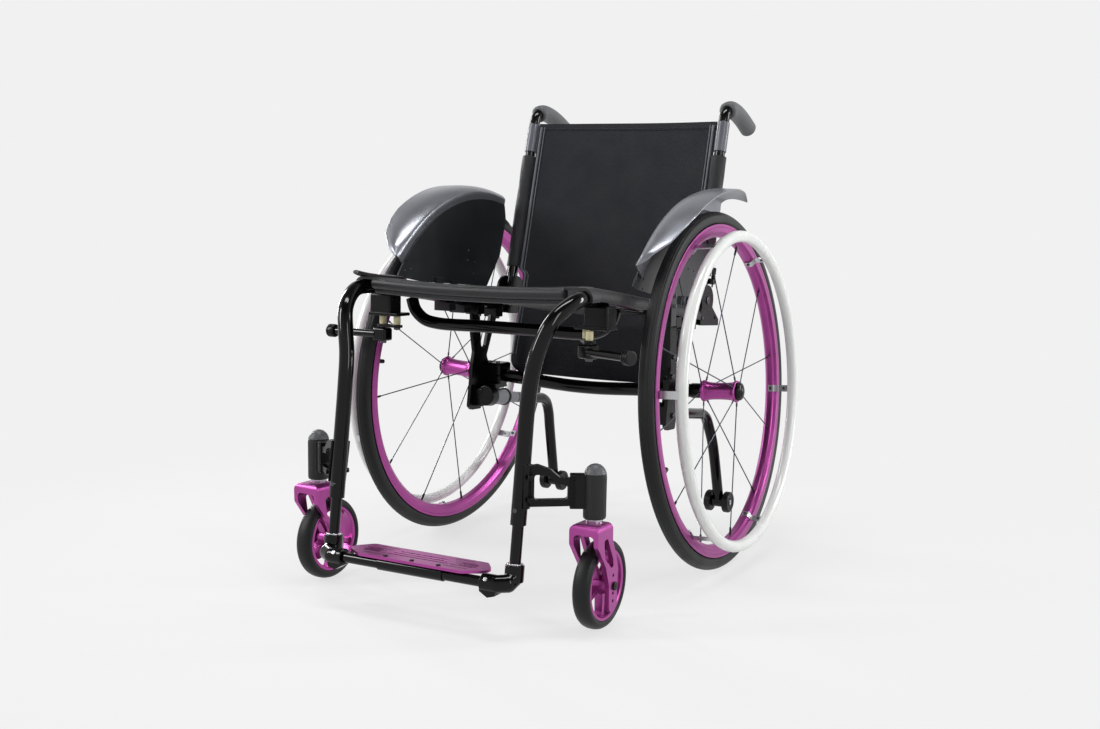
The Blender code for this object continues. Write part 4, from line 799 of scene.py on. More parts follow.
PAINT = Finish(
    "polished black powder paint", "gloss_black_paint", "040404", "020202", 0.1, grain=Grain.PEEL, size=3.5,
    depth=0.002, contrast=0.1, specular=0.24)
MAGENTA = Finish(
    "magenta anodised aluminium, bead-blasted", "magenta_anodised_aluminium", "B0509B", "9A4187", 0.33,
    metallic=0.85, grain=Grain.BLASTED, size=0.5, depth=0.004)
BLACK_METAL = Finish(
    "black anodised aluminium, machined", "black_anodised_aluminium", "0A0A0B", "050506", 0.28,
    grain=Grain.BLASTED, size=0.6, depth=0.005, specular=0.2)
PLASTIC = Finish(
    "black glass-filled nylon, moulded", "black_moulded_plastic", "0E0E0F", "08080A", 0.38, size=0.8,
    depth=0.015, specular=0.22)
TYRE = Finish(
    "charcoal tyre rubber, moulded", "tyre_rubber", "151618", "0E0F10", 0.46, size=1.2, depth=0.03,
    specular=0.25)
RING_COAT = Finish(
    "white plastic-coated push ring", "white_coated_ring", "DFE1DF", "D1D3D1", 0.24, grain=Grain.PEEL,
    size=5.0, depth=0.01, contrast=0.1, coat=0.3)
SILVER = Finish(
    "brushed aluminium tab", "white_coated_ring", "CFCFD2", "B4B4B8", 0.28, metallic=1.0, grain=Grain.BRUSHED,
    size=0.35, depth=0.01)
SPOKE = Finish(
    "dark plated spoke wire", "dark_spoke_steel", "4A4D57", "33353C", 0.3, metallic=0.85, grain=Grain.BRUSHED,
    size=0.4, depth=0.003)
STEEL = Finish(
    "polished steel screw", "black_anodised_aluminium", "C4C5C8", "9FA0A4", 0.22, metallic=1.0,
    grain=Grain.BLASTED, size=0.4, depth=0.003)
SCREW = Finish(
    "blackened steel screw", "black_anodised_aluminium", "5B5C60", "46474B", 0.26, metallic=0.9,
    grain=Grain.BRUSHED, size=0.5, depth=0.01)
CASTING = Finish(
    "powder-coated cast aluminium", "black_anodised_aluminium", "1D1D1E", "151516", 0.42, size=0.7,
    depth=0.02, specular=0.35)
GREY_TUBE = Finish(
    "grey anodised tube, drawn", "grey_anodised_tube", "84858A", "6C6D72", 0.34, metallic=0.8,
    grain=Grain.BRUSHED, size=0.5, depth=0.005)
SPACER = Finish(
    "black polyester spacer mesh, knitted", "black_nylon_fabric", "26272C", "0F0F12", 0.8, grain=Grain.SPACER,
    size=3.2, depth=0.4, contrast=0.5, sheen=0.1, specular=0.2, plane=Plane.ALONG)
NYLON = Finish(
    "black nylon cloth, plain weave", "black_nylon_fabric", "1B1B1E", "111113", 0.5, grain=Grain.WOVEN,
    size=1.0, depth=0.05, contrast=0.3, sheen=0.08, specular=0.35)
POCKET = Finish(
    "black nylon cloth of the back's pockets", "black_nylon_fabric", "1F2024", "121215", 0.6,
    grain=Grain.WOVEN, size=1.1, depth=0.06, contrast=0.3, sheen=0.1, specular=0.3, plane=Plane.ALONG)
THREAD = Finish(
    "black bonded sewing thread", "black_nylon_fabric", "34353A", "222327", 0.6, grain=Grain.BRUSHED,
    size=0.3, depth=0.02, sheen=0.1)
PIPING = Finish(
    "grey woven seam piping", "black_nylon_fabric", "565960", "43454B", 0.45, grain=Grain.BRUSHED, size=0.6,
    depth=0.04, sheen=0.1)
HEM = Finish(
    "black nylon webbing, woven", "black_nylon_fabric", "222226", "161618", 0.42, grain=Grain.WOVEN, size=1.2,
    depth=0.06, contrast=0.3, sheen=0.08, specular=0.35)
GRIP = Finish(
    "dark grey grip rubber, moulded", "tyre_rubber", "5C5D60", "4A4B4E", 0.46, size=0.9, depth=0.04,
    specular=0.35)
SLEEVE = Finish(
    "satin grey-black sleeve", "black_moulded_plastic", "565962", "44474E", 0.34, size=0.8, depth=0.02)
FENDER = Finish(
    "grey fender plastic with a silky gloss", "grey_fender_plastic", "8C8E95", "787A80", 0.3, metallic=0.7,
    grain=Grain.PEEL, size=2.5, depth=0.0012, contrast=0.1)
GUARD = Finish(
    "black guard plastic, fine grained", "black_guard_plastic", "232528", "191B1E", 0.38, size=0.7,
    depth=0.015, specular=0.4)
BUSHING = Finish(
    "cream acetal bushing", "black_moulded_plastic", "CFC8A2", "BDB58C", 0.38, size=0.9, depth=0.01)
# What each finish gives the eye. Paint: deep black with long crisp streaks. Magenta and grey
# anodising: a clear colour under soft wide highlights. Machined black and cast aluminium: a dull
# sheen on crisp edges. Nylon, guard and grip: soft light on a pebbled skin. Tyre: dusty charcoal
# without a clear streak. Ring coat: china white with a soft gradient. Sleeve and fender: grey with
# one broad silky band. Tabs, steel and blackened screws: small bright or smoky glints. Mesh, nylon
# cloth, webbing and piping: near black with rows of tiny dots or threads. Acetal: warm cream.
# The mesh cloth's eyelets are drawn 3.2 mm apart, coarser than life, so that they show.


# Patterns that repeat
class Patterns:
    """Node trees for what repeats, each built once."""

    def __init__(self) -> None:
        """Builds the trees."""
        self.ring = self._ring_tree()
        self.seam = self._seam_tree()

    @staticmethod
    def _new_tree(name: str, sockets: Sequence[tuple[str, str]]) -> bpy.types.NodeTree:
        """An empty tree with a shape in, named inputs, and a shape out.

        Args:
            name: The tree's name.
            sockets: Each further input and its type.

        Returns:
            The tree.
        """
        tree = bpy.data.node_groups.new(name, "GeometryNodeTree")
        for label, kind in (("Shape", "NodeSocketGeometry"), *sockets):
            tree.interface.new_socket(label, in_out="INPUT", socket_type=kind)
        tree.interface.new_socket("Result", in_out="OUTPUT", socket_type="NodeSocketGeometry")
        return tree

    @staticmethod
    def _close_tree(tree: bpy.types.NodeTree, given: bpy.types.Node, instances: bpy.types.NodeSocket) -> None:
        """Makes instances real, gives them the finish and leads them out.

        Args:
            tree: The tree.
            given: Its input node.
            instances: The instances to lead out.
        """
        real = add_node(tree, "GeometryNodeRealizeInstances", {0: instances})
        dressed = add_node(
            tree, "GeometryNodeSetMaterial", {"Geometry": real, "Material": given.outputs["Finish"]})
        add_node(tree, "NodeGroupOutput", {0: dressed})

    def _ring_tree(self) -> bpy.types.NodeTree:
        """Copies of a shape, evenly turned about the z axis.

        Returns:
            The tree.
        """
        tree = self._new_tree(
            "ring of pieces",
            [("Count", "NodeSocketInt"), ("First angle", "NodeSocketFloat"), ("Finish", "NodeSocketMaterial")]
        )
        given = add_node(tree, "NodeGroupInput", get=None)
        points = add_node(tree, "GeometryNodePoints", {"Count": given.outputs["Count"]})
        index = add_node(tree, "GeometryNodeInputIndex")
        step = add_node(tree, "ShaderNodeMath", {0: TURN, 1: given.outputs["Count"]}, operation="DIVIDE")
        turn = add_node(
            tree, "ShaderNodeMath", {0: index, 1: step, 2: given.outputs["First angle"]},
            operation="MULTIPLY_ADD")
        turned = add_node(tree, "ShaderNodeCombineXYZ", {"Z": turn})
        copies = add_node(
            tree, "GeometryNodeInstanceOnPoints",
            {"Points": points, "Instance": given.outputs["Shape"], "Rotation": turned})
        self._close_tree(tree, given, copies)
        return tree

    def _seam_tree(self) -> bpy.types.NodeTree:
        """Stitches laid end to end along a seam's curve.

        Returns:
            The tree.
        """
        tree = self._new_tree(
            "stitches along a seam",
            [("Spacing", "NodeSocketFloat"), ("Stitch length", "NodeSocketFloat"),
             ("Thread radius", "NodeSocketFloat"), ("Finish", "NodeSocketMaterial")],
        )
        given = add_node(tree, "NodeGroupInput", get=None)
        even = add_node(
            tree, "GeometryNodeResampleCurve",
            {"Curve": given.outputs["Shape"], "Length": given.outputs["Spacing"]}, mode="LENGTH")
        stitch = add_node(
            tree, "GeometryNodeMeshCylinder",
            {"Vertices": 6, "Radius": given.outputs["Thread radius"], "Depth": given.outputs["Stitch length"]}
        )
        tangent = add_node(tree, "GeometryNodeInputTangent")
        lie = add_node(tree, "FunctionNodeAlignRotationToVector", {"Vector": tangent}, axis="Z")
        copies = add_node(
            tree, "GeometryNodeInstanceOnPoints", {"Points": even, "Instance": stitch, "Rotation": lie})
        self._close_tree(tree, given, copies)
        return tree

    @staticmethod
    def _run(item: bpy.types.Object, tree: bpy.types.NodeTree, values: dict[str, Any]) -> Shape:
        """Runs a tree on an object and returns its plain mesh as a new shape.

        Args:
            item: The object; it is used up.
            tree: The tree.
            values: A value for each input by name.

        Returns:
            The shape.
        """
        step = item.modifiers.new(tree.name, "NODES")
        step.node_group = tree
        for socket in tree.interface.items_tree:
            if socket.in_out == "INPUT" and socket.name in values:
                step[socket.identifier] = values[socket.name]
        mesh = baked(item)
        mesh.materials.clear()
        bpy.data.objects.remove(item, do_unlink=True)
        return Shape(mesh)

    def around(self, shape: Shape, count: int, finish: Finish, first: float = 0.0) -> Shape:
        """Repeats a shape round the z axis.

        Args:
            shape: What is repeated; it is used up.
            count: How many copies there are.
            finish: The finish of the copies.
            first: The turn of the first copy.

        Returns:
            The copies as one shape.
        """
        values = {"Count": count, "First angle": first, "Finish": finish.material()}
        return self._run(shape.item, self.ring, values)

    def stitches(
        self, path: Sequence[Place], finish: Finish, spacing: float = 0.0034, radius: float = 0.00035
    ) -> Shape:
        """Stitches along a path, as one shape.

        Args:
            path: The seam's points.
            finish: The thread's finish.
            spacing: From one stitch to the next.
            radius: The thread's radius.

        Returns:
            The stitches.
        """
        item = curve_through("seam", [path], closed=False)
        item.data.dimensions = "3D"
        values = {
            "Spacing": spacing, "Stitch length": spacing * 0.72, "Thread radius": radius,
            "Finish": finish.material()}
        return self._run(item, self.seam, values)


class Dresser:
    """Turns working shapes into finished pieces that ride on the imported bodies."""

    def __init__(self, shift: float) -> None:
        """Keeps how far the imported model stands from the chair's own frame.

        Args:
            shift: The distance along y.
        """
        self.shift = shift
        self.patterns = Patterns()
        self.count = 0

    def dress(
        self, shape: Shape, name: str, finish: Finish, body: str, *nodes: str,
        crease: float = 38, tail: str = "",
    ) -> bpy.types.Object:
        """Finishes a piece: its place, shading, material, body and the nodes it stands for.

        Args:
            shape: The working shape, in the chair's frame.
            name: The piece's name.
            finish: Its finish.
            body: The body that it rides on.
            nodes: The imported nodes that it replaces.
            crease: Edges sharper than this angle stay sharp.
            tail: What ends the name, the nodes and the body, apart from the frame.

        Returns:
            The finished piece.
        """
        name += tail
        body += tail if body != "frame" else ""
        nodes = tuple(node + tail for node in nodes)
        item = shape.place(Matrix.Translation((0, self.shift, 0))).item
        item.name = name
        item.data.name = name
        item.data.materials.clear()
        item.data.materials.append(finish.material())
        for face in item.data.polygons:
            face.material_index = 0
        item.data.shade_smooth()
        item.data.set_sharp_from_angle(angle=radians(crease))
        flat = item.modifiers.new("flat faces stay flat", "WEIGHTED_NORMAL")
        flat.keep_sharp = True
        shape.bake()
        item.data.name = name
        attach(item, body)
        if nodes:
            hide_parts(*nodes)
        self.count += 1
        LOG.info("%s: %d faces, on %s, for %s", name, len(item.data.polygons), body, nodes or "-")
        return item


# Places that several assemblies share
@dataclass(frozen=True)
class Layout:
    """The chair's main lines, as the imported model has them."""

    axle_z: float = 0.295 * cos(radians(3.57))
    camber: float = radians(3.57)
    wheel_x: float = 0.2548
    rail_x: float = 0.19
    rail_z: float = 0.4545
    rail_bend_y: float = -0.3
    rail_slope: float = 0.1245
    tube: float = 0.0111
    leg_x: float = 0.1555
    leg_top: tuple[float, float] = (-0.4494, 0.3323)
    leg_slope: float = 0.123
    pivot: tuple[float, float] = (0.061, 0.44)
    recline: float = atan(0.256)
    stem: tuple[float, float] = (0.2405, -0.4106)
    socket: tuple[float, float] = (0.1655, 0.0449)
    socket_fall: float = radians(7.76)

    def rail(self, y: float) -> float:
        """Height of a rail's middle line."""
        return self.rail_z - self.rail_slope * (y - self.rail_bend_y)

    def leg(self, side: Side, z: float) -> Vector:
        """A point on the middle line of a front leg."""
        top_y, top_z = self.leg_top
        return Vector((side.value * self.leg_x, top_y - self.leg_slope * (top_z - z), z))

    def wheel(self, side: Side) -> Matrix:
        """A rear wheel's frame: x up in the wheel's plane, z outwards along its axle.

        Args:
            side: Which side.

        Returns:
            The frame.
        """
        s = side.value
        up = Vector((-s * sin(self.camber), 0, cos(self.camber)))
        out = Vector((s * cos(self.camber), 0, sin(self.camber)))
        turn = Matrix((up, out.cross(up), out)).transposed().to_4x4()
        return Matrix.Translation((s * self.wheel_x, 0, self.axle_z)) @ turn

    def back(self) -> Matrix:
        """The back's frame: x across, y up the posts, z forwards out of the back.

        Returns:
            The frame.
        """
        up = Vector((0, sin(self.recline), cos(self.recline)))
        front = Vector((0, -cos(self.recline), sin(self.recline)))
        turn = Matrix((Vector((1, 0, 0)), up, front)).transposed().to_4x4()
        return Matrix.Translation((0, *self.pivot)) @ turn

    def anti_tip(self, side: Side) -> Matrix:
        """The anti-tip socket's frame: z runs to the rear along its bore.

        Args:
            side: Which side.

        Returns:
            The frame.
        """
        x, drop = self.socket
        place = Matrix.Translation((side.value * x, 0, self.axle_z - drop))
        return place @ Matrix.Rotation(-pi / 2 - self.socket_fall, 4, "X")

    def bracket(self, side: Side) -> tuple[Matrix, float]:
        """The caster bracket's frame, x from leg to stem and y up, and the stem's distance.

        Args:
            side: Which side.

        Returns:
            The frame and the distance.
        """
        leg = self.leg(side, 0.207)
        start = Vector((leg.x, leg.y, 0))
        reach = Vector((side.value * self.stem[0], self.stem[1], 0)) - start
        along, up = reach.normalized(), Vector((0, 0, 1))
        turn = Matrix((along, up, along.cross(up))).transposed().to_4x4()
        return Matrix.Translation(start) @ turn, reach.length

    def side_tube(self, side: Side) -> list[Vector]:
        """Middle line of the tube that is seat rail and front leg in one.

        Args:
            side: Which side.

        Returns:
            Points from the rail's rear end to the leg's lower end.
        """
        x = self.rail_x
        places = [(x, y, self.rail(y)) for y in (0.03, -0.16, self.rail_bend_y)] + [
            (0.1905, -0.345, 0.4585), (0.1895, -0.384, 0.455), (0.1765, -0.423, 0.43),
            (0.1655, -0.4371, 0.3972), (0.1585, -0.4435, 0.3644), self.leg(Side.RIGHT, 0.32),
            self.leg(Side.RIGHT, 0.24), self.leg(Side.RIGHT, 0.1533)]
        return [Vector((side.value * p[0], p[1], p[2])) for p in smooth_path(places, 0.004)]


@dataclass
class Assembly:
    """Pieces that are built from the chair's main lines and dressed together."""

    chair: Layout
    dresser: Dresser

    @property
    def tail(self) -> str:
        """What ends the names of all its pieces: nothing, where it spans both sides."""
        return ""

    def dress(self, *given: Any, **settings: Any) -> bpy.types.Object:
        """Finishes one piece, as Dresser.dress says."""
        return self.dresser.dress(*given, tail=self.tail, **settings)


@dataclass
class SideAssembly(Assembly):
    """An assembly that the chair has on both sides, with names that end in the side's own."""

    side: Side

    @property
    def tail(self) -> str:
        """The side, as the names of its pieces, nodes and moving bodies end."""
        return f"_{self.side.label}"


@dataclass
class RearWheel(SideAssembly):
    """A cambered spoked wheel with its push ring, hub and quick-release axle."""

    radius: float = 0.295
    tyre_section: float = 0.012
    rim_radius: float = 0.2745
    rim_half: float = 0.0112
    rim_bed: float = 0.2535
    ring_radius: float = 0.2533
    ring_tube: float = 0.0095
    ring_offset: float = 0.0435
    hub_inner: float = -0.0281
    hub_outer: float = 0.0336
    flange: float = 0.018
    waist: float = 0.014
    spoke_circle: float = 0.0165
    spoke_radius: float = 0.001
    spoke_groups: int = 3
    tabs: int = 6
    head_radius: float = 0.015
    head_height: float = 0.0078
    sleeve: float = 0.02
    body: str = "rear_wheel"

    def _put(self, shape: Shape, name: str, finish: Finish, body: str, *nodes: str) -> None:
        """Moves a shape from the wheel's frame to the chair's and finishes it."""
        self.dress(shape.place(self.chair.wheel(self.side)), name, finish, body, *nodes)

    def _tyre(self) -> Shape:
        """A round tyre with fine grooves along its tread and a step low on each wall.

        Returns:
            The tyre in the wheel's frame.
        """
        middle = self.radius - self.tyre_section
        profile = []
        for i in range(72):
            angle = i * 5.0
            off = min(angle, 360 - angle)
            groove = 0.00045 if off in (10, 20, 30, 45) else 0.0
            step = 0.0005 if 70 <= off <= 100 else 0.0
            size = self.tyre_section - groove + (-step if off > 70 else 0.0)
            turn = radians(angle)
            profile.append((middle + size * cos(turn), size * sin(turn)))
        return Shape.lathe(profile, 144, closed=True)

    def _rim(self) -> Shape:
        """A deep rim: hooked edges, a flat side wall with one machined line, a rounded bed.

        Returns:
            The rim in the wheel's frame.
        """
        top, half, bed = self.rim_radius, self.rim_half, self.rim_bed
        section = [
            (top - 0.0036, 0.005), (top - 0.003, 0.0092), (top - 0.0014, 0.0098), (top, 0.0102),
            (top, half - 0.0004), (top - 0.0006, half), (top - 0.0046, half), (top - 0.005, half - 0.0004),
            (top - 0.0054, half), (top - 0.013, half), (top - 0.0142, half - 0.0003),
            (top - 0.0155, half - 0.0016), (bed + 0.0016, 0.0068), (bed + 0.0004, 0.0052), (bed, 0.003)]
        return Shape.lathe(mirrored(section), 144, closed=True)

    def _spokes(self) -> tuple[Shape, Shape]:
        """The wires with their heads, and the nipples at the rim.

        Returns:
            All wires, and all nipples, in the wheel's frame.
        """
        turn = radians(self.side.pick(39, 53.5))
        wires: list[Shape] = []
        nipples: list[Shape] = []
        for hand, end in ((1, self.hub_inner), (-1, self.hub_outer)):
            height = end + hand * 0.00225
            for lean in (-1, 1):
                at_hub = hand * radians(15) + lean * radians(22)
                at_rim = hand * radians(15) + lean * radians(30)
                hub = Vector((self.spoke_circle * cos(at_hub), self.spoke_circle * sin(at_hub), height))
                reach = self.rim_bed - TOUCH
                rim = Vector((reach * cos(at_rim), reach * sin(at_rim), 0))
                line = (rim - hub).normalized()
                wires.append(Shape.rod(hub - line * 0.004, rim, self.spoke_radius, 8, 0.0002))
                wires.append(Shape.rod(hub + line * 0.003, hub + line * 0.009, 0.0016, 8, 0.0004))
                nipples.append(Shape.rod(rim - line * 0.013, rim + line * 0.0002, 0.0019, 8, 0.0005))
        around = self.dresser.patterns.around
        wire = around(Shape.joined(wires), self.spoke_groups, SPOKE, turn)
        return wire, around(Shape.joined(nipples), self.spoke_groups, PLASTIC, turn)

    def _hub(self) -> Shape:
        """A waisted hub between two rounded flanges.

        Returns:
            The hub in the wheel's frame.
        """
        low, high, middle = self.hub_inner, self.hub_outer, (self.hub_inner + self.hub_outer) / 2
        half = (high - low) / 2
        section = [
            (0.0092, half), (0.01, half), (0.0103, half - 0.0008), (0.0158, half - 0.0008), (0.0164, half),
            (0.0172, half - 0.0002), (self.flange, half - 0.0012), (self.flange, half - 0.0036),
            (0.0174, half - 0.0046), (0.016, half - 0.0066), (0.015, half - 0.011), (0.0143, half - 0.018),
            (self.waist, half - 0.026)]
        shape = Shape.lathe(mirrored(section), 56, closed=True)
        return shape.place(Matrix.Translation((0, 0, middle)))

    def _push_ring(self) -> None:
        """The coated ring with its tabs and their screws."""
        section = circle(self.ring_radius, self.ring_offset, self.ring_tube, 28)
        ring = Shape.lathe(section, 144, closed=True)
        self._put(ring, "push_ring_tube", RING_COAT, self.body, "push_ring")
        first = radians(self.side.pick(7, 25))
        edge, bed = self.rim_radius - 0.01295, self.rim_bed - TOUCH
        outline = rounded([
            (edge - 0.0012, self.ring_offset + 0.001), (edge - 0.0012, self.rim_half + 0.0028),
            (bed - 0.0016, 0.0066), (bed - 0.0016, -0.003), (bed + 0.0006, -0.003),
            (bed + 0.001, 0.0062), (edge + 0.0012, self.rim_half + 0.0008),
            (edge + 0.0012, self.ring_offset + 0.001),
        ], 0.0012, 3)
        tab = Shape.slab(outline, 0.012, Plane.FRONT, edge=0.0007)
        screw = Shape.rod((bed, 0, 0.0016), (bed - 0.0036, 0, 0.0016), 0.003, 14, 0.0009)
        well = Shape.rod((edge, 0, 0.024), (edge - 0.0022, 0, 0.024), 0.0024, 12, 0.0006)
        around = self.dresser.patterns.around
        self._put(around(tab, self.tabs, SILVER, first), "push_ring_tabs", SILVER, self.body)
        heads = around(screw.gather(well), self.tabs, SCREW, first)
        self._put(heads, "push_ring_screws", SCREW, self.body)

    def _axle(self) -> None:
        """The quick-release axle: a domed head, a sleeve behind the hub, its pin and button."""
        base = self.hub_outer + TOUCH
        top = base + self.head_height
        inner = self.hub_inner - TOUCH
        radius = self.head_radius
        head = Shape.lathe([
            (0, top - 0.0053), (0.0085, top - 0.0053), (0.0085, top - 0.0006), (0.0091, top),
            (0.0105, top - 0.0002), (0.0131, top - 0.0014), (0.0146, top - 0.0034),
            (radius, top - 0.0052), (radius, base + 0.001), (radius - 0.0006, base),
            (0.006, base), (0.006, inner), (0.0118, inner), (0.0125, inner - 0.0007),
            (0.0125, inner - 0.0193), (0.0118, inner - 0.02), (0.006, inner - 0.02),
            (0.006, inner - 0.069), (0.0054, inner - 0.07), (0, inner - 0.07),
        ], 48)
        self._put(head, "quick_release_pin", BLACK_METAL, "frame", "quick_release_axle")
        start = top - 0.001
        button = Shape.lathe([
            (0, start), (0.0078, start), (0.0078, start + 0.0014), (0.0072, start + 0.002),
            (0.0044, start + 0.0031), (0.0016, start + 0.0035), (0, start + 0.0035),
        ], 36)
        body = "release_button"
        self._put(button, "quick_release_button", PLASTIC, body, body)

    def build(self) -> None:
        """Builds and dresses every piece of the wheel."""
        self._put(self._tyre(), "tyre", TYRE, self.body, "rear_tyre")
        self._put(self._rim(), "rim", MAGENTA, self.body, "rear_rim")
        wires, nipples = self._spokes()
        self._put(wires, "wires", SPOKE, self.body, "spokes")
        self._put(nipples, "nipples", PLASTIC, self.body)
        self._put(self._hub(), "hub", MAGENTA, self.body, "rear_hub")
        core = Shape.lathe([
            (0.0064, self.hub_outer - 0.0002), (0.009, self.hub_outer - 0.0002),
            (0.009, self.hub_inner + 0.0002), (0.0064, self.hub_inner + 0.0002),
        ], 36, closed=True)
        self._put(core, "hub_bearings", STEEL, self.body)
        self._push_ring()
        angle = radians(self.side.pick(-82.0, 113.5))
        out = Vector((cos(angle), sin(angle), 0))
        stem = Shape.rod(out * (self.rim_bed + 0.0006), out * 0.244, 0.0026, 14)
        stem.gather(
            Shape.rod(out * 0.2475, out * 0.2365, 0.0036, 14, 0.0012),
            Shape.rod(out * (self.rim_bed + 0.0004), out * 0.25, 0.0046, 14))
        self._put(stem, "tyre_valve", PLASTIC, self.body)
        self._axle()


@dataclass
class FrameTubes(Assembly):
    """The welded frame: two bent side tubes, the seat brace and the bent camber tube."""

    brace_radius: float = 0.0098
    brace_y: float = -0.25
    camber_radius: float = 0.0113
    leg_end: float = 0.1533

    def _side_tube(self, side: Side) -> None:
        """One side tube, hollow at the leg's end, with its set screw.

        Args:
            side: Which side.
        """
        tube = Shape.sweep(self.chair.side_tube(side), self.chair.tube, 40, 0.001)
        hollow = Shape.rod(
            self.chair.leg(side, self.leg_end - 0.01), self.chair.leg(side, self.leg_end + 0.016), 0.0087, 32)
        tube.carve(hollow)
        self.dress(tube, f"side_tube_{side.label}", PAINT, "frame", f"side_frame_{side.label}")
        spot = self.chair.leg(side, 0.1737)
        out = Vector((0, -1, 0.123)).normalized()
        screw = Shape.lathe([
            (0, 0.0118), (0.0012, 0.0118), (0.0016, 0.0124), (0.003, 0.0124), (0.0033, 0.012),
            (0.0033, 0.009), (0, 0.009),
        ], 18)
        screw.place(Matrix.Translation(spot) @ out.to_track_quat("Z", "X").to_matrix().to_4x4())
        self.dress(screw, f"leg_set_screw_{side.label}", SCREW, "frame")

    def build(self) -> None:
        """Builds and dresses the frame's tubes."""
        for side in Side:
            self._side_tube(side)
        half = [(0.05, 0.399), (0.135, 0.399), (0.16, 0.4045), (0.177, 0.419), (0.1836, 0.437)]
        places = [(-x, self.brace_y, z) for x, z in reversed(half)]
        places += [(x, self.brace_y, z) for x, z in half]
        brace = Shape.sweep(smooth_path(places, 0.004), self.brace_radius, 32)
        self.dress(brace, "brace_under_seat", PAINT, "frame", "seat_brace")
        chair = self.chair
        along = RearWheel.hub_inner - TOUCH - RearWheel.sleeve - TOUCH
        end_x = chair.wheel_x + along * cos(chair.camber)
        end_z = chair.axle_z + along * sin(chair.camber)
        bend_z = end_z - (end_x - 0.06) * tan(chair.camber)
        right = [
            (end_x, 0, end_z), (0.11, 0, end_z - (end_x - 0.11) * tan(chair.camber)), (0.06, 0, bend_z),
            (0.03, 0, bend_z - 0.0014), (0.0, 0, bend_z - 0.0018)]
        left = [(-x, y, z) for x, y, z in right[:-1]]
        tube = Shape.sweep(smooth_path([*left, *reversed(right)], 0.005), self.camber_radius, 36)
        for side in Side:
            inward = Matrix.Translation((0, 0, along))
            bore = Shape.rod((0, 0, 0.01), (0, 0, -0.0515), 0.0064, 24)
            tube.carve(bore.place(chair.wheel(side) @ inward))
        self.dress(tube, "camber_cross_tube", PAINT, "frame", "camber_tube")


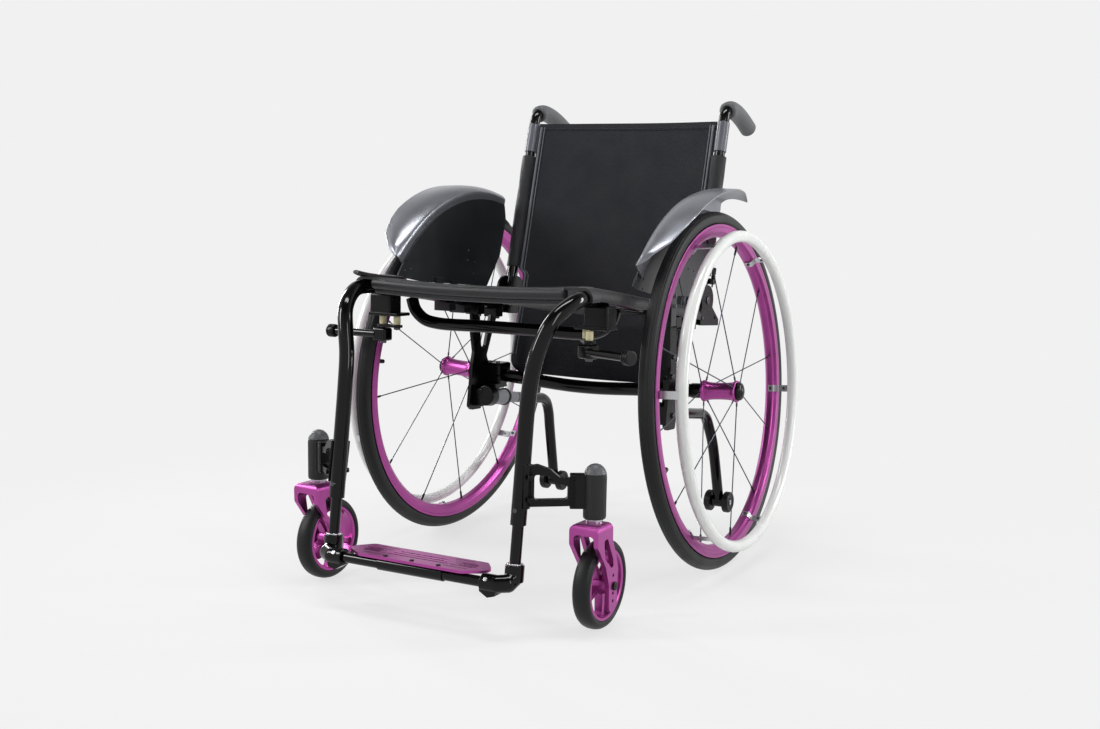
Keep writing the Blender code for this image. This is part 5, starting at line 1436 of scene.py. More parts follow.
@dataclass
class AxleMount(SideAssembly):
    """The plate, clamps and lugs that hang the camber tube under one rail."""

    plate_x: float = 0.1905
    plate_thickness: float = 0.006
    clamp_x: float = 0.1768
    clamp_width: float = 0.0335
    clamp_depth: float = 0.04
    saddles: tuple[float, float] = (-0.056, 0.004)
    plate_bolts: tuple[tuple[float, float], ...] = ((-0.053, 0.352), (-0.056, 0.319))

    def _x(self, value: float) -> float:
        """A distance from the middle plane, on this side."""
        return self.side.value * value

    def build(self) -> None:
        """Builds and dresses the mount and its bolts."""
        chair = self.chair
        axle = chair.axle_z
        upper = [
            (-0.0665, -0.0604), (-0.068, -0.0212), (-0.044, -0.0182), (-0.0385, -0.0785), (-0.031, -0.0846),
            (-0.024, -0.0768), (-0.007, -0.02), (0.014, -0.0174), (-0.0045, -0.0577)]
        lower = [
            (-0.02, 0.0306), (-0.015, 0.0196), (0.015, 0.0176), (0.015, -0.0184), (-0.028, -0.0224),
            (-0.037, -0.0644), (-0.066, -0.0634), (-0.075, -0.0564), (-0.068, -0.0074), (-0.065, 0.0196),
            (-0.06, 0.0406)]
        outline = [(y, chair.rail(y) + rise) for y, rise in upper]
        outline += [(y, axle + rise) for y, rise in lower]
        plate = Shape.slab(
            rounded(outline, 0.004, 4), self.plate_thickness, Plane.SIDE, self._x(self.plate_x),
            [circle(*self.plate_bolts[0], 0.0042), circle(*self.plate_bolts[1], 0.0032)], 0.0008)
        parts = []
        for y in self.saddles:
            height = chair.rail(y)
            parts.append(Shape.block(
                (self._x(chair.rail_x - 0.0135), y - 0.011, height - 0.0235),
                (self._x(chair.rail_x + 0.0135), y + 0.011, height - 0.0065), 0.0014,
            ))
        tube_z = axle - (chair.wheel_x - self.clamp_x) * tan(chair.camber)
        half = self.clamp_width / 2
        parts.append(Shape.block(
            (self._x(self.clamp_x - half), -self.clamp_depth / 2, tube_z - 0.0155),
            (self._x(self.clamp_x + half), self.clamp_depth / 2, tube_z + 0.022), 0.0045, 3,
        ))
        x, drop = chair.socket
        height = axle - drop
        lie = chair.anti_tip(self.side)
        behind, before = (lie @ Vector((0, 0, along)) for along in (-0.06, -0.039))
        parts.append(Shape.rod(behind, before, 0.018, 48, 0.0022))
        parts.append(Shape.block(
            (self._x(x + 0.004), -0.06, height - 0.012),
            (self._x(self.plate_x - 0.001), -0.04, height + 0.0205), 0.0025, 3,
        ))
        parts.append(Shape.block(
            (self._x(x - 0.002), -0.028, height + 0.0165),
            (self._x(self.plate_x - 0.001), 0.012, tube_z - 0.0135), 0.002,
        ))
        mount = plate.fuse(*parts)
        reach = 0.03
        slope = reach * tan(chair.camber)
        rail = Shape.rod(
            (self._x(chair.rail_x), -0.09, chair.rail(-0.09)),
            (self._x(chair.rail_x), 0.04, chair.rail(0.04)), chair.tube + SNUG, 36, SHARP)
        tube = Shape.rod(
            (self._x(self.clamp_x - reach), 0, tube_z - slope),
            (self._x(self.clamp_x + reach), 0, tube_z + slope), 0.0115, 36, SHARP)
        socket = Shape.rod((0, 0, -0.0452), (0, 0, 0.05), 0.0147, 36, SHARP)
        split = Shape.block(
            (self._x(self.clamp_x - 0.03), -0.03, tube_z - 0.0008),
            (self._x(self.plate_x - 0.004), -0.01, tube_z + 0.0008), 0)
        mount.carve(rail, tube, socket.place(chair.anti_tip(self.side)), split)
        self.dress(mount, "axle_carrier", BLACK_METAL, "frame", "axle_mount", crease=30)
        self._bolts(tube_z, height)

    def _bolts(self, tube_z: float, socket_z: float) -> None:
        """Cap screws in the clamp, in the socket lug and through the saddles.

        Args:
            tube_z: Height of the camber tube in the clamp.
            socket_z: Height of the anti-tip socket.
        """
        out = self.plate_x + self.plate_thickness / 2
        bolts: list[Shape] = []
        for x in (self.clamp_x - 0.009, self.clamp_x + 0.009):
            top = (self._x(x), -0.0135, tube_z + 0.0205)
            bolts.append(Shape.rod(top, (top[0], top[1], tube_z + 0.0255), 0.0038, 18))
            low = (self._x(x), -0.0135, tube_z - 0.0148)
            bolts.append(Shape.hexagon(low, (low[0], low[1], tube_z - 0.019), 0.007))
        for y, z in (*self.plate_bolts, (-0.049, socket_z + 0.004)):
            seat = (self._x(out - 0.002), y, z)
            bolts.append(Shape.rod(seat, (self._x(out + 0.0035), y, z), 0.0046, 18, 0.001))
        for y in self.saddles:
            z = self.chair.rail(y) - 0.0225
            x = self._x(0.181)
            bolts.append(Shape.rod((x, y, z), (x, y, z - 0.0042), 0.0036, 16))
        whole = Shape.joined(bolts)
        self.dress(whole, "axle_carrier_bolts", SCREW, "frame")


@dataclass
class AntiTip(SideAssembly):
    """The swinging anti-tip arm behind one rear wheel, with its socket and twin wheels."""

    socket_radius: float = 0.0145
    arm_radius: float = 0.00975
    straight: float = 0.145
    axle: tuple[float, float, float] = (0.1773, 0.2165, 0.0563)
    wheel_radius: float = 0.0195
    wheel_width: float = 0.012
    spacing: float = 0.0362
    bow: tuple[tuple[float, float, float], ...] = (
        (0.0541, 0.0011, 0.0144), (0.1722, 0.0015, 0.0188), (0.3508, 0.0029, 0.0176))

    def build(self) -> None:
        """Builds and dresses the socket, the arm and the wheels."""
        frame = self.chair.anti_tip(self.side)
        radius = self.socket_radius
        socket = Shape.lathe([
            (0, -0.045), (radius - 0.0008, -0.045), (radius, -0.0442), (radius, 0.0008),
            (radius - 0.0004, 0.0012), (radius - 0.0004, 0.006), (0.0106, 0.006),
            (0.0103, 0.0056), (0.0103, -0.041), (0, -0.041),
        ], 44).place(frame)
        self.dress(socket, "anti_tip_holder", GREY_TUBE, "frame", "anti_tip_socket")
        ring = Shape.lathe([
            (radius - 0.0003, 0.0014), (radius + 0.0009, 0.0014), (radius + 0.0013, 0.0019),
            (radius + 0.0013, 0.0056), (radius + 0.0009, 0.0061), (0.0109, 0.0063),
            (0.0106, 0.006), (radius - 0.0003, 0.0058),
        ], 44, closed=True).place(frame)
        self.dress(ring, "anti_tip_ring", PLASTIC, "frame")
        body = "anti_tip_arm"
        axle = Vector((self.side.value * self.axle[0], self.axle[1], self.axle[2]))
        bend = frame @ Vector((0, 0, self.straight))
        lower = [
            bend.lerp(axle, share) + Vector((self.side.value * out, back, 0)) for share, out, back in self.bow
        ]
        foot = axle + (lower[-1] - axle) * 0.06
        places = [frame @ Vector((0, 0, z)) for z in (-0.0405, 0.03, 0.08, self.straight - 0.017)]
        arm = Shape.sweep(smooth_path([*places, bend, *lower, foot], 0.004), self.arm_radius, 32)
        half = self.spacing / 2 - self.wheel_width / 2 - TOUCH
        across = Vector((half, 0, 0))
        arm.fuse(Shape.rod(axle - across, axle + across, 0.0105, 32, 0.0008))
        arm.carve(Shape.rod(axle - 2 * across, axle + 2 * across, 0.0044, 20, SHARP))
        self.dress(arm, "anti_tip_tube", PAINT, body, body)
        grey = Shape.rod(frame @ Vector((0, 0, 0.0075)), frame @ Vector((0, 0, 0.043)), 0.00995, 32)
        self.dress(grey, "anti_tip_grey_tube", GREY_TUBE, body)
        self._wheels(axle)

    def _wheels(self, axle: Vector) -> None:
        """Two small wheels on one bolt.

        Args:
            axle: The middle of their axle.
        """
        near = self.spacing / 2 - self.wheel_width / 2
        far = near + self.wheel_width
        edge = self.wheel_radius
        disc = Shape.lathe([
            (0.0045, near), (edge - 0.0012, near), (edge, near + 0.0012), (edge, far - 0.003),
            (edge - 0.0009, far - 0.0012), (edge - 0.0028, far), (0.0125, far),
            (0.0118, far - 0.0012), (0.008, far - 0.0012), (0.0074, far - 0.0002),
            (0.0045, far - 0.0002),
        ], 40, closed=True)
        other = disc.copy().place(Matrix.Rotation(pi, 4, "Y"))
        lie = Matrix.Translation(axle) @ ACROSS
        wheels = disc.gather(other).place(lie)
        body = "anti_tip_wheels"
        self.dress(wheels, "anti_tip_rollers", TYRE, body, body)
        bolt = Shape.rod((0, 0, -far + 0.001), (0, 0, far - 0.001), 0.004, 20)
        bolt.gather(
            Shape.hexagon((0, 0, far - 0.0014), (0, 0, far - 0.0001), 0.009),
            Shape.hexagon((0, 0, -far + 0.0001), (0, 0, -far + 0.0014), 0.009))
        self.dress(bolt.place(lie), "anti_tip_bolt", STEEL, body)


@dataclass
class Caster(SideAssembly):
    """One caster: bracket and housing on the frame, the swivelling fork and the wheel."""

    trail: float = 0.0212
    radius: float = 0.0635
    tyre_half: float = 0.0132
    rim_radius: float = 0.0512
    rim_thickness: float = 0.0057
    rim_half: float = 0.0115
    hub_radius: float = 0.0135
    gap: float = 0.031
    leg: float = 0.007
    crown_bottom: float = 0.143
    crown: float = 0.0145
    housing: float = 0.016
    housing_low: float = 0.162
    housing_top: float = 0.2245
    foot_radius: float = 0.0115
    axle_row: tuple[float, ...] = (0.0796, 0.0542, 0.043)

    def _stem(self, z: float = 0.0) -> Vector:
        """A point on the swivel's axis."""
        return Vector((self.side.value * self.chair.stem[0], self.chair.stem[1], z))

    def _bracket(self) -> None:
        """The windowed arm from the front leg to the housing, with its toothed rack."""
        chair, side = self.chair, self.side
        frame, reach = chair.bracket(side)
        outline = [
            (0.006, 0.234), (0.022, 0.2366), (0.04, 0.23), (0.052, 0.2195), (0.07, 0.218), (0.07, 0.18),
            (0.006, 0.1786)]
        window = [
            (0.0175, 0.188), (0.063, 0.189), (0.063, 0.209), (0.048, 0.211), (0.038, 0.2205), (0.0175, 0.224)]
        arm = Shape.slab(rounded(outline, 0.007), 0.012, frame, 0.0, [rounded(window, 0.005)], 0.0012)
        rack = Shape.block((0.066, 0.176, -0.008), (reach - 0.003, 0.224, 0.008), 0.0014)
        saddle = Shape.rod(chair.leg(side, 0.1765), chair.leg(side, 0.237), 0.0142, 40, 0.0012)
        saddle.carve(Shape.block((-0.03, 0.15, -0.03), (0.0025, 0.26, 0.03), 0).place(frame))
        arm.fuse(rack.place(frame), saddle)
        arm.carve(
            Shape.rod(chair.leg(side, 0.15), chair.leg(side, 0.26), chair.tube + SNUG, 40, SHARP),
            Shape.rod(self._stem(0.15), self._stem(0.25), self.housing + TOUCH, 44, SHARP))
        self.dress(arm, "caster_arm", BLACK_METAL, "frame", "caster_bracket", crease=30)
        teeth: list[Shape] = []
        for i in range(13):
            z = 0.1785 + i * 0.0036
            for face in (-1, 1):
                low = (0.0675, z, face * 0.0072)
                high = (0.0735, z + 0.0018, face * 0.0094)
                teeth.append(Shape.block(low, high, 0.0003, 1).place(frame))
        self.dress(Shape.joined(teeth), "caster_rack_teeth", BLACK_METAL, "frame")
        bolts = [
            Shape.rod(*(frame @ Vector((0.0115, z, s * out)) for out in (0.013, 0.0178)), 0.0036, 18, 0.0008)
            for z in (0.19, 0.221) for s in (-1, 1)]
        self.dress(Shape.joined(bolts), "caster_arm_bolts", BLACK_METAL, "frame")

    def _housing(self) -> None:
        """The ribbed bearing housing with its domed cap."""
        top, low, radius = self.housing_top, self.housing_low, self.housing
        body = Shape.lathe([
            (0, 0.215), (0.0063, 0.215), (0.0063, low + 0.0005), (radius - 0.0012, low),
            (radius - 0.0002, low + 0.001), (radius - 0.0002, top - 0.0012),
            (radius - 0.001, top - 0.0004), (0, top - 0.0004),
        ], 48)
        root, crest = (radius - 0.0012, -0.0004, low + 0.003), (radius, 0.0004, top - 0.004)
        rib = Shape.block(root, crest, 0.0002, 1)
        body.gather(self.dresser.patterns.around(rib, 40, PLASTIC))
        place = Matrix.Translation(self._stem())
        self.dress(body.place(place), "caster_bearing_housing", CASTING, "frame", "caster_housing")
        cap = Shape.lathe([
            (0, top + 0.0136), (0.0035, top + 0.0134), (0.0075, top + 0.012),
            (0.011, top + 0.0092), (0.0135, top + 0.0058), (0.015, top + 0.0022),
            (0.0156, top + 0.0002), (0.015, top - 0.0003), (0, top - 0.0003),
        ], 44)
        self.dress(cap.place(place), "caster_cap", GRIP, "frame")

    def _fork(self) -> None:
        """A U of blasted aluminium with a long slot and a row of axle holes in each leg."""
        body = "caster_fork"
        x = self.side.value * self.chair.stem[0]
        axle_y = self.chair.stem[1] + self.trail
        top = self.crown_bottom + self.crown
        row_y = axle_y - 0.003
        centre = Vector((row_y, 0.038))
        foot = arc(*centre, self.foot_radius, 180, 360, 12)
        front = [(-0.4416, top), (-0.441, 0.129), (-0.416, 0.096), (-0.405, 0.068)]
        rear = [(-0.379, 0.064), (-0.3775, 0.085), (-0.385, 0.108), (-0.396, 0.131), (-0.3969, top)]
        outline = front + foot + rear
        slot = [(-0.4225, 0.135), (-0.412, 0.136), (-0.394, 0.103), (-0.3925, 0.092),
                (-0.3985, 0.0915), (-0.418, 0.108)]
        holes = [rounded(slot, 0.004)]
        holes += [circle(row_y, z, 0.0024, 18) for z in self.axle_row]
        outer = self.gap / 2 + self.leg
        side_view = Shape.slab(rounded(outline, 0.009, 6), 2 * outer + 0.02, Plane.SIDE, x, holes, 0)
        inner = self.gap / 2
        profile = Shape.slab(self._arch(outer, inner, top), 0.09, Plane.FRONT, 0.0, (), 0)
        profile.place(Matrix.Translation((x, -0.41, 0)))
        fork = profile.common(side_view)
        fork.soften(0.0007, 2, 40)
        stem = Shape.rod(self._stem(top - 0.002), self._stem(0.2135), 0.006, 28)
        washer = Shape.rod(self._stem(top - 0.001), self._stem(self.housing_low - TOUCH), 0.0118, 32)
        stem.gather(washer)
        self.dress(fork, "caster_fork_arch", MAGENTA, body, body, crease=30)
        self.dress(stem, "caster_stem", STEEL, body)
        axle = Vector((x, axle_y, self.radius))
        reach = Vector((outer + 0.001, 0, 0))
        pin = Shape.rod(axle - reach, axle + reach, 0.0038, 20)
        for hand in (-1, 1):
            seat = axle + Vector((hand * (outer - 0.0003), 0, 0))
            pin.gather(
                Shape.rod(seat, seat + Vector((hand * 0.0034, 0, 0)), 0.0062, 24, 0.001),
                Shape.hexagon(seat, seat + Vector((hand * 0.0038, 0, 0)), 0.0048))
        self.dress(pin, "caster_axle", BLACK_METAL, body)

    def _arch(self, outer: float, inner: float, top: float) -> list[tuple[float, float]]:
        """The fork seen from the front: two legs under a crown with rounded shoulders.

        Args:
            outer: Half the width outside.
            inner: Half the width inside.
            top: Height of the crown.

        Returns:
            The outline.
        """
        shoulder, fillet, steps = 0.0095, 0.006, 8
        points = [(-outer, 0.02), *arc(-outer + shoulder, top - shoulder, shoulder, 180, 90, steps)]
        points += [(-px, pz) for px, pz in reversed(points)]
        below = self.crown_bottom - fillet
        inside = [(inner, 0.02), *arc(inner - fillet, below, fillet, 0, 90, steps)]
        return points + inside + [(-px, pz) for px, pz in reversed(inside)]

    def _wheel(self) -> None:
        """The solid tyre on a five-armed hub."""
        body = "caster_wheel"
        lie = Matrix.Translation(self._stem(self.radius) + Vector((0, self.trail, 0)))
        lie = lie @ ACROSS
        edge, half = self.radius, self.tyre_half
        section = [
            (edge, 0.0), (edge - 0.0002, 0.004), (edge - 0.0012, 0.008), (edge - 0.0034, 0.0112),
            (edge - 0.0062, 0.0128), (edge - 0.0085, half), (self.rim_radius + 0.0016, half - 0.0004),
            (self.rim_radius + 0.0003, half - 0.0016)]
        tyre = Shape.lathe(mirrored(section)[:-1], 96, closed=True)
        self.dress(tyre.place(lie), "caster_tread", TYRE, body, "caster_tyre")
        inner = self.rim_radius - self.rim_thickness
        rim = Shape.lathe(mirrored([
            (self.rim_radius, 0.0), (self.rim_radius, self.rim_half - 0.0006),
            (self.rim_radius - 0.0006, self.rim_half), (inner + 0.0012, self.rim_half),
            (inner + 0.0003, self.rim_half - 0.0012),
        ])[:-1], 96, closed=True)
        hub_half = self.gap / 2 - 0.0005
        core = Shape.lathe(mirrored([
            (0.0092, hub_half - 0.001), (0.011, hub_half - 0.0002), (0.0118, hub_half - 0.001),
            (self.hub_radius - 0.0004, 0.009), (self.hub_radius, 0.007),
        ]), 48, closed=True)
        arms = []
        for i in range(5):
            points = [
                (self.hub_radius - 0.002, -0.0055), (0.024, -0.0036), (inner - 0.006, -0.0032),
                (inner + 0.002, -0.0062), (inner + 0.002, 0.0062), (inner - 0.006, 0.0032), (0.024, 0.0036),
                (self.hub_radius - 0.002, 0.0055)]
            arm = Shape.slab(rounded(points, 0.006, 3), 0.012, Plane.LEVEL, 0.0, (), 0.0009)
            arms.append(arm.place(Matrix.Rotation(TURN * i / 5, 4, "Z")))
        hub = rim.gather(core, *arms)
        self.dress(hub.place(lie), "caster_rim", MAGENTA, body, "caster_hub", crease=30)
        bearings = Shape.lathe(mirrored([
            (0.0045, hub_half), (0.0066, hub_half), (0.007, hub_half - 0.0006),
            (0.0088, hub_half - 0.0008), (0.0091, hub_half - 0.0012),
        ]), 36, closed=True)
        self.dress(bearings.place(lie), "caster_bearings", STEEL, body)

    def build(self) -> None:
        """Builds and dresses every piece of the caster."""
        self._bracket()
        self._housing()
        self._fork()
        self._wheel()


@dataclass
class Footrest(Assembly):
    """The sliding legs, their elbows, the cross tube and the hinged, grooved footplate."""

    leg_radius: float = 0.008
    leg_top: float = 0.228
    tube_y: float = -0.5
    tube_z: float = 0.0755
    tube_radius: float = 0.0075
    tube_half: float = 0.1297
    elbow_radius: float = 0.0125
    elbow_x: float = 0.118
    collar_radius: float = 0.0135
    collar_top: float = 0.1
    collar_height: float = 0.038
    sleeve_radius: float = 0.0092
    sleeve_half: float = 0.0555
    plate_half: float = 0.1165
    plate_thickness: float = 0.004

    def _leg(self, side: Side) -> None:
        """One sliding leg with its collar, elbow and wedge, and a silver ring with its screw.

        Args:
            side: Which side.
        """
        chair, label, s = self.chair, side.label, side.value
        low = self.collar_top - self.collar_height
        leg = Shape.rod(chair.leg(side, low + 0.018), chair.leg(side, self.leg_top), self.leg_radius, 32)
        collar = Shape.sweep(
            [chair.leg(side, low + 0.014), chair.leg(side, self.collar_top)], self.collar_radius, 40, 0.0016)
        knee = Vector((s * 0.1535, -0.4925, self.tube_z + 0.001))
        toe = Vector((s * self.elbow_x, self.tube_y, self.tube_z))
        heel = Vector((s * 0.14, self.tube_y, self.tube_z))
        radius = self.elbow_radius
        elbow = Shape.rod(chair.leg(side, self.collar_top - 0.018), knee, radius, 40, 0)
        elbow.fuse(
            Shape.ball(knee, radius), Shape.rod(knee, heel, radius - 0.0001, 40, SHARP),
            Shape.ball(heel, radius - 0.0001), Shape.rod(heel, toe, radius + 0.0001, 40, 0.0016))
        leg.fuse(collar, elbow)
        leg.carve(Shape.rod(
            (s * (self.elbow_x - 0.01), self.tube_y, self.tube_z),
            (s * (self.tube_half + TOUCH), self.tube_y, self.tube_z), self.tube_radius + SNUG, 32, SHARP,
        ))
        wedge = Shape.slab(rounded([
            (s * 0.144, self.tube_z - 0.006), (s * 0.142, self.tube_z - 0.015),
            (s * 0.13, self.tube_z - 0.0185), (s * 0.117, self.tube_z - 0.011),
            (s * 0.117, self.tube_z - 0.006),
        ], 0.0012, 3), 0.016, Plane.FRONT, 0.0, (), 0.0008)
        wedge.place(Matrix.Translation((0, self.tube_y, 0)))
        leg.gather(wedge)
        self.dress(leg, f"footrest_slider_{label}", PAINT, "footrest", f"footrest_leg_{label}")
        ring = Shape.rod(
            chair.leg(side, self.collar_top - 0.0004), chair.leg(side, self.collar_top + 0.0018), 0.0116, 36,
            0.0006)
        down = Shape.rod(
            (s * 0.129, self.tube_y - 0.01, self.tube_z + 0.007),
            (s * 0.129, self.tube_y - 0.0117, self.tube_z + 0.0086), 0.003, 14, 0.0006)
        ring.gather(down)
        self.dress(ring, f"footrest_ring_{label}", SILVER, "footrest")

    def build(self) -> None:
        """Builds and dresses the footrest."""
        for side in Side:
            self._leg(side)
        y, z = self.tube_y, self.tube_z
        tube = Shape.rod((-self.tube_half, y, z), (self.tube_half, y, z), self.tube_radius, 32)
        self.dress(tube, "footrest_bar", PAINT, "footrest", "footrest_cross_tube")
        sleeve = Shape.lathe([
            (self.tube_radius + 0.0004, self.sleeve_half),
            (self.sleeve_radius - 0.0005, self.sleeve_half),
            (self.sleeve_radius, self.sleeve_half - 0.0006),
            (self.sleeve_radius, -self.sleeve_half + 0.0006),
            (self.sleeve_radius - 0.0005, -self.sleeve_half),
            (self.tube_radius + 0.0004, -self.sleeve_half),
        ], 36, closed=True)
        sleeve.place(Matrix.Translation((0, y, z)) @ ACROSS)
        self.dress(sleeve, "footplate_sleeve", PAINT, "footplate")
        self._plate()

    def _plate(self) -> None:
        """A thin anodised plate with slots, ovals and grooves in rows, and three bolts."""
        half, front, rear = self.plate_half, -0.508, -0.454
        right = [(half - 0.03, front), (half, front + 0.018), (half, rear - 0.022), (half - 0.018, rear)]
        outline = rounded([*right, *((-x, y) for x, y in reversed(right))], 0.012)
        slots = []
        for row in range(3):
            y, reach = -0.487 + row * 0.0085, 0.052 - row * 0.006
            ends = [(-reach, y - 0.0012), (reach, y - 0.0012), (reach, y + 0.0012), (-reach, y + 0.0012)]
            slots.append(rounded(ends, 0.0012, 3))
        for hand in (-1, 1):
            for y in (-0.483, -0.4745):
                x = hand * 0.082
                ends = [(x - 0.014, y - 0.0016), (x + 0.014, y - 0.0016), (x + 0.014, y + 0.0016),
                        (x - 0.014, y + 0.0016)]
                slots.append(rounded(ends, 0.0016, 3))
        middle = self.tube_z + self.sleeve_radius - 0.0006 + self.plate_thickness / 2
        plate = Shape.slab(outline, self.plate_thickness, Plane.LEVEL, middle, slots, 0.0006)
        self.dress(plate, "grooved_footplate", MAGENTA, "footplate", "footplate", crease=30)
        top = middle + self.plate_thickness / 2
        grooves: list[Shape] = []
        for row in range(5):
            y, reach = -0.4955 + row * 0.0085, 0.07 - abs(row - 2) * 0.006
            for hand in (-1, 1):
                start, end = hand * (reach - 0.01), hand * (reach + 0.03 - row * 0.002)
                low, high = (start, y - 0.001, top - 0.0004), (end, y + 0.001, top + 0.0001)
                grooves.append(Shape.block(low, high, 0.0001, 1))
        self.dress(Shape.joined(grooves), "footplate_grooves", BLACK_METAL, "footplate")
        bolts = [
            Shape.rod((x, self.tube_y, top - 0.001), (x, self.tube_y, top + 0.0014), 0.0034, 18, 0.0008)
            for x in (-0.045, 0.0, 0.045)]
        self.dress(Shape.joined(bolts), "footplate_bolts", BLACK_METAL, "footplate")


@dataclass
class Back(Assembly):
    """The fold-down back: hinges, posts with grips, pull locks and the sling between them."""

    post: float = 0.0095
    cheek: float = 0.0042
    arc: float = 0.0255
    below: float = 0.013
    straight: float = 0.308
    sleeve_start: float = 0.261
    sleeve_radius: float = 0.011
    pocket: tuple[float, float] = (0.044, 0.252)
    pocket_radius: float = 0.0135
    grip_radius: float = 0.015
    tip: tuple[float, float] = (0.258, 0.7445)
    lock_x: float = 0.2045
    lock_back: float = 0.01
    half_width: float = 0.178
    flap_half_width: float = 0.167
    top: float = 0.315
    bottom: float = -0.151
    sag: float = 0.014
    cloth: float = 0.0032

    def _at(self, x: float, back: float, up: float) -> Vector:
        """A point of the back by its distance behind the posts and up them."""
        return self.chair.back() @ Vector((x, up, -back))

    def _handle(self, x: float, tip: tuple[float, float]) -> list[Vector]:
        """Middle line of the handle that bends back from a post's top."""
        bends = [(0.1425, 0.754), (0.1525, 0.7648), (0.17, 0.769), (0.195, 0.7665), (0.225, 0.758)]
        return [Vector((x, y, z)) for y, z in (*bends, tip)]

    def _hinge(self, side: Side) -> None:
        """Two cheeks round the post's foot, a bridge, and a plug in the rail's end.

        Args:
            side: Which side.
        """
        chair, x = self.chair, side.value * self.chair.rail_x
        y, z = chair.pivot
        front = 0.03 + chair.tube * chair.rail_slope + TOUCH
        outline = [(front, 0.3985), (0.113, 0.394), (0.113, 0.405)]
        outline += arc(y, z, self.arc, -30, 210, 20)
        outline.append((front, 0.423))
        middle = self.post + TOUCH + self.cheek / 2
        holes = [circle(0.0955, 0.4085, 0.003, 18)]
        inner, outer = (
            Shape.slab(rounded(outline, 0.003, 3), self.cheek, Plane.SIDE, x + s * middle, holes, 0.0007)
            for s in (-1, 1))
        half = middle + self.cheek / 2
        bridge = Shape.block((x - half, front, 0.399), (x + half, front + 0.0105, 0.4215), 0.0015)
        start, end = front + 0.004, front - 0.025
        plug = Shape.rod((x, start, chair.rail(start)), (x, end, chair.rail(end)), 0.0082, 28)
        inner.fuse(outer, bridge, plug)
        label = side.label
        self.dress(inner, f"hinge_cheeks_{label}", BLACK_METAL, "frame", f"back_hinge_{label}")
        pin = Shape.rod((x - half - 0.0012, y, z), (x + half + 0.0012, y, z), 0.0038, 24)
        for s in (-1, 1):
            face = x + s * (half - 0.0002)
            pin.gather(
                Shape.rod((face, y, z), (face + s * 0.0022, y, z), 0.0068, 24, 0.0009),
                Shape.hexagon((face, y, z), (face + s * 0.0025, y, z), 0.0048),
                Shape.rod((face, 0.04, 0.4105), (face + s * 0.0016, 0.04, 0.4105), 0.0036, 18))
        self.dress(pin, f"hinge_bolts_{label}", SCREW, "frame")

    def _post(self, side: Side) -> None:
        """One post with its lock block, its sleeve and its grip.

        Args:
            side: Which side.
        """
        x, label = side.value * self.chair.rail_x, side.label
        up = (-self.below, 0.06, 0.14, 0.22, 0.28, self.straight)
        path = smooth_path([*(self._at(x, 0, u) for u in up), *self._handle(x, self.tip)], 0.005)
        post = Shape.sweep(path, self.post, 36)
        frame, low, high = self.chair.back(), self.arc + 0.0045, self.pocket[0] - 0.0042
        boss = Shape.block(
            (x, low, -self.lock_back - 0.004),
            (side.value * (self.lock_x + 0.0035), high, -self.lock_back + 0.004), 0.0012)
        boss.place(frame)
        post.fuse(boss)
        lock_x, back = side.value * self.lock_x, self.lock_back
        post.carve(
            Shape.rod(
                self._at(lock_x, back, low - 0.01), self._at(lock_x, back, high + 0.01), 0.0017, 14, SHARP),
            Shape.rod((x - 0.03, *self.chair.pivot), (x + 0.03, *self.chair.pivot), 0.0042, 24, SHARP))
        self.dress(post, f"post_tube_{label}", PAINT, "backrest", f"back_post_{label}")
        sleeve = Shape.sweep(
            [self._at(x, 0, self.sleeve_start), self._at(x, 0, self.straight + 0.006)], self.sleeve_radius,
            36, 0.001)
        self.dress(sleeve, f"post_sleeve_{label}", SLEEVE, "backrest")
        y, z = self.tip
        grip = Shape.sweep(
            smooth_path(self._handle(x, (y + 0.004, z - 0.0016))[1:], 0.003), self.grip_radius, 40, 0.0045)
        hollow = smooth_path(self._handle(x, (y + 0.0003, z - 0.0001)), 0.004)
        grip.carve(Shape.sweep(hollow, self.post + SNUG, 36, SHARP))
        self.dress(grip, f"grip_rubber_{label}", GRIP, "backrest", f"push_grip_{label}")
        knob_start = high + TOUCH
        tip = sqrt((self.arc + TOUCH) ** 2 - back**2) + 0.001
        pin = Shape.rod(self._at(lock_x, back, tip), self._at(lock_x, back, knob_start + 0.004), 0.0014, 14)
        knob = Shape.lathe([
            (0, 0), (0.0034, 0), (0.0037, 0.0004), (0.0037, 0.005), (0.003, 0.0058),
            (0.003, 0.0068), (0.0037, 0.0076), (0.0037, 0.016), (0.003, 0.0186), (0, 0.0195),
        ], 28)
        lie = frame @ Matrix.Translation((lock_x, knob_start, -back))
        knob.place(lie @ Matrix.Rotation(-pi / 2, 4, "X"))
        body = f"fold_lock_{label}"
        self.dress(pin.gather(knob), f"lock_pull_{label}", PLASTIC, body, body)

    def _half(self, up: float) -> float:
        """Half of the sling's width at a height: full between the posts, narrower below.

        Args:
            up: The height above the pivots, up the posts.

        Returns:
            Half the width.
        """
        shoulder, corner = self.pocket[0] - 0.009, 0.028
        share = min(1.0, max(0.0, (up - shoulder + 0.004) / 0.008))
        wide = self.flap_half_width + (self.half_width - 0.0004 - self.flap_half_width) * share
        low = up - self.bottom
        if low < corner:
            wide -= corner - sqrt(max(0.0, corner**2 - (corner - low) ** 2))
        return wide

    def _cloth_point(self, x: float, up: float, proud: float = 0.0) -> Vector:
        """A point of the sling: it sags between the posts and ripples a little.

        Args:
            x: The place across.
            up: The height up the posts.
            proud: How far the point stands off forwards.

        Returns:
            The point.
        """
        share = min(1.0, abs(x) / self.half_width)
        hang = max(0.0, -up) / 0.151
        ripple = 0.0011 * sin(21 * x + 9 * up) * cos(17 * up - 1.3) * (1 - share**4)
        back = self.sag * (1 - share**2) * (1 - 0.25 * hang) + ripple + 0.002 * hang * cos(26 * x)
        dip = -0.0036 * (1 - share**2) * max(0.0, up - 0.22) / 0.095
        return self._at(x, back - proud, up - dip)

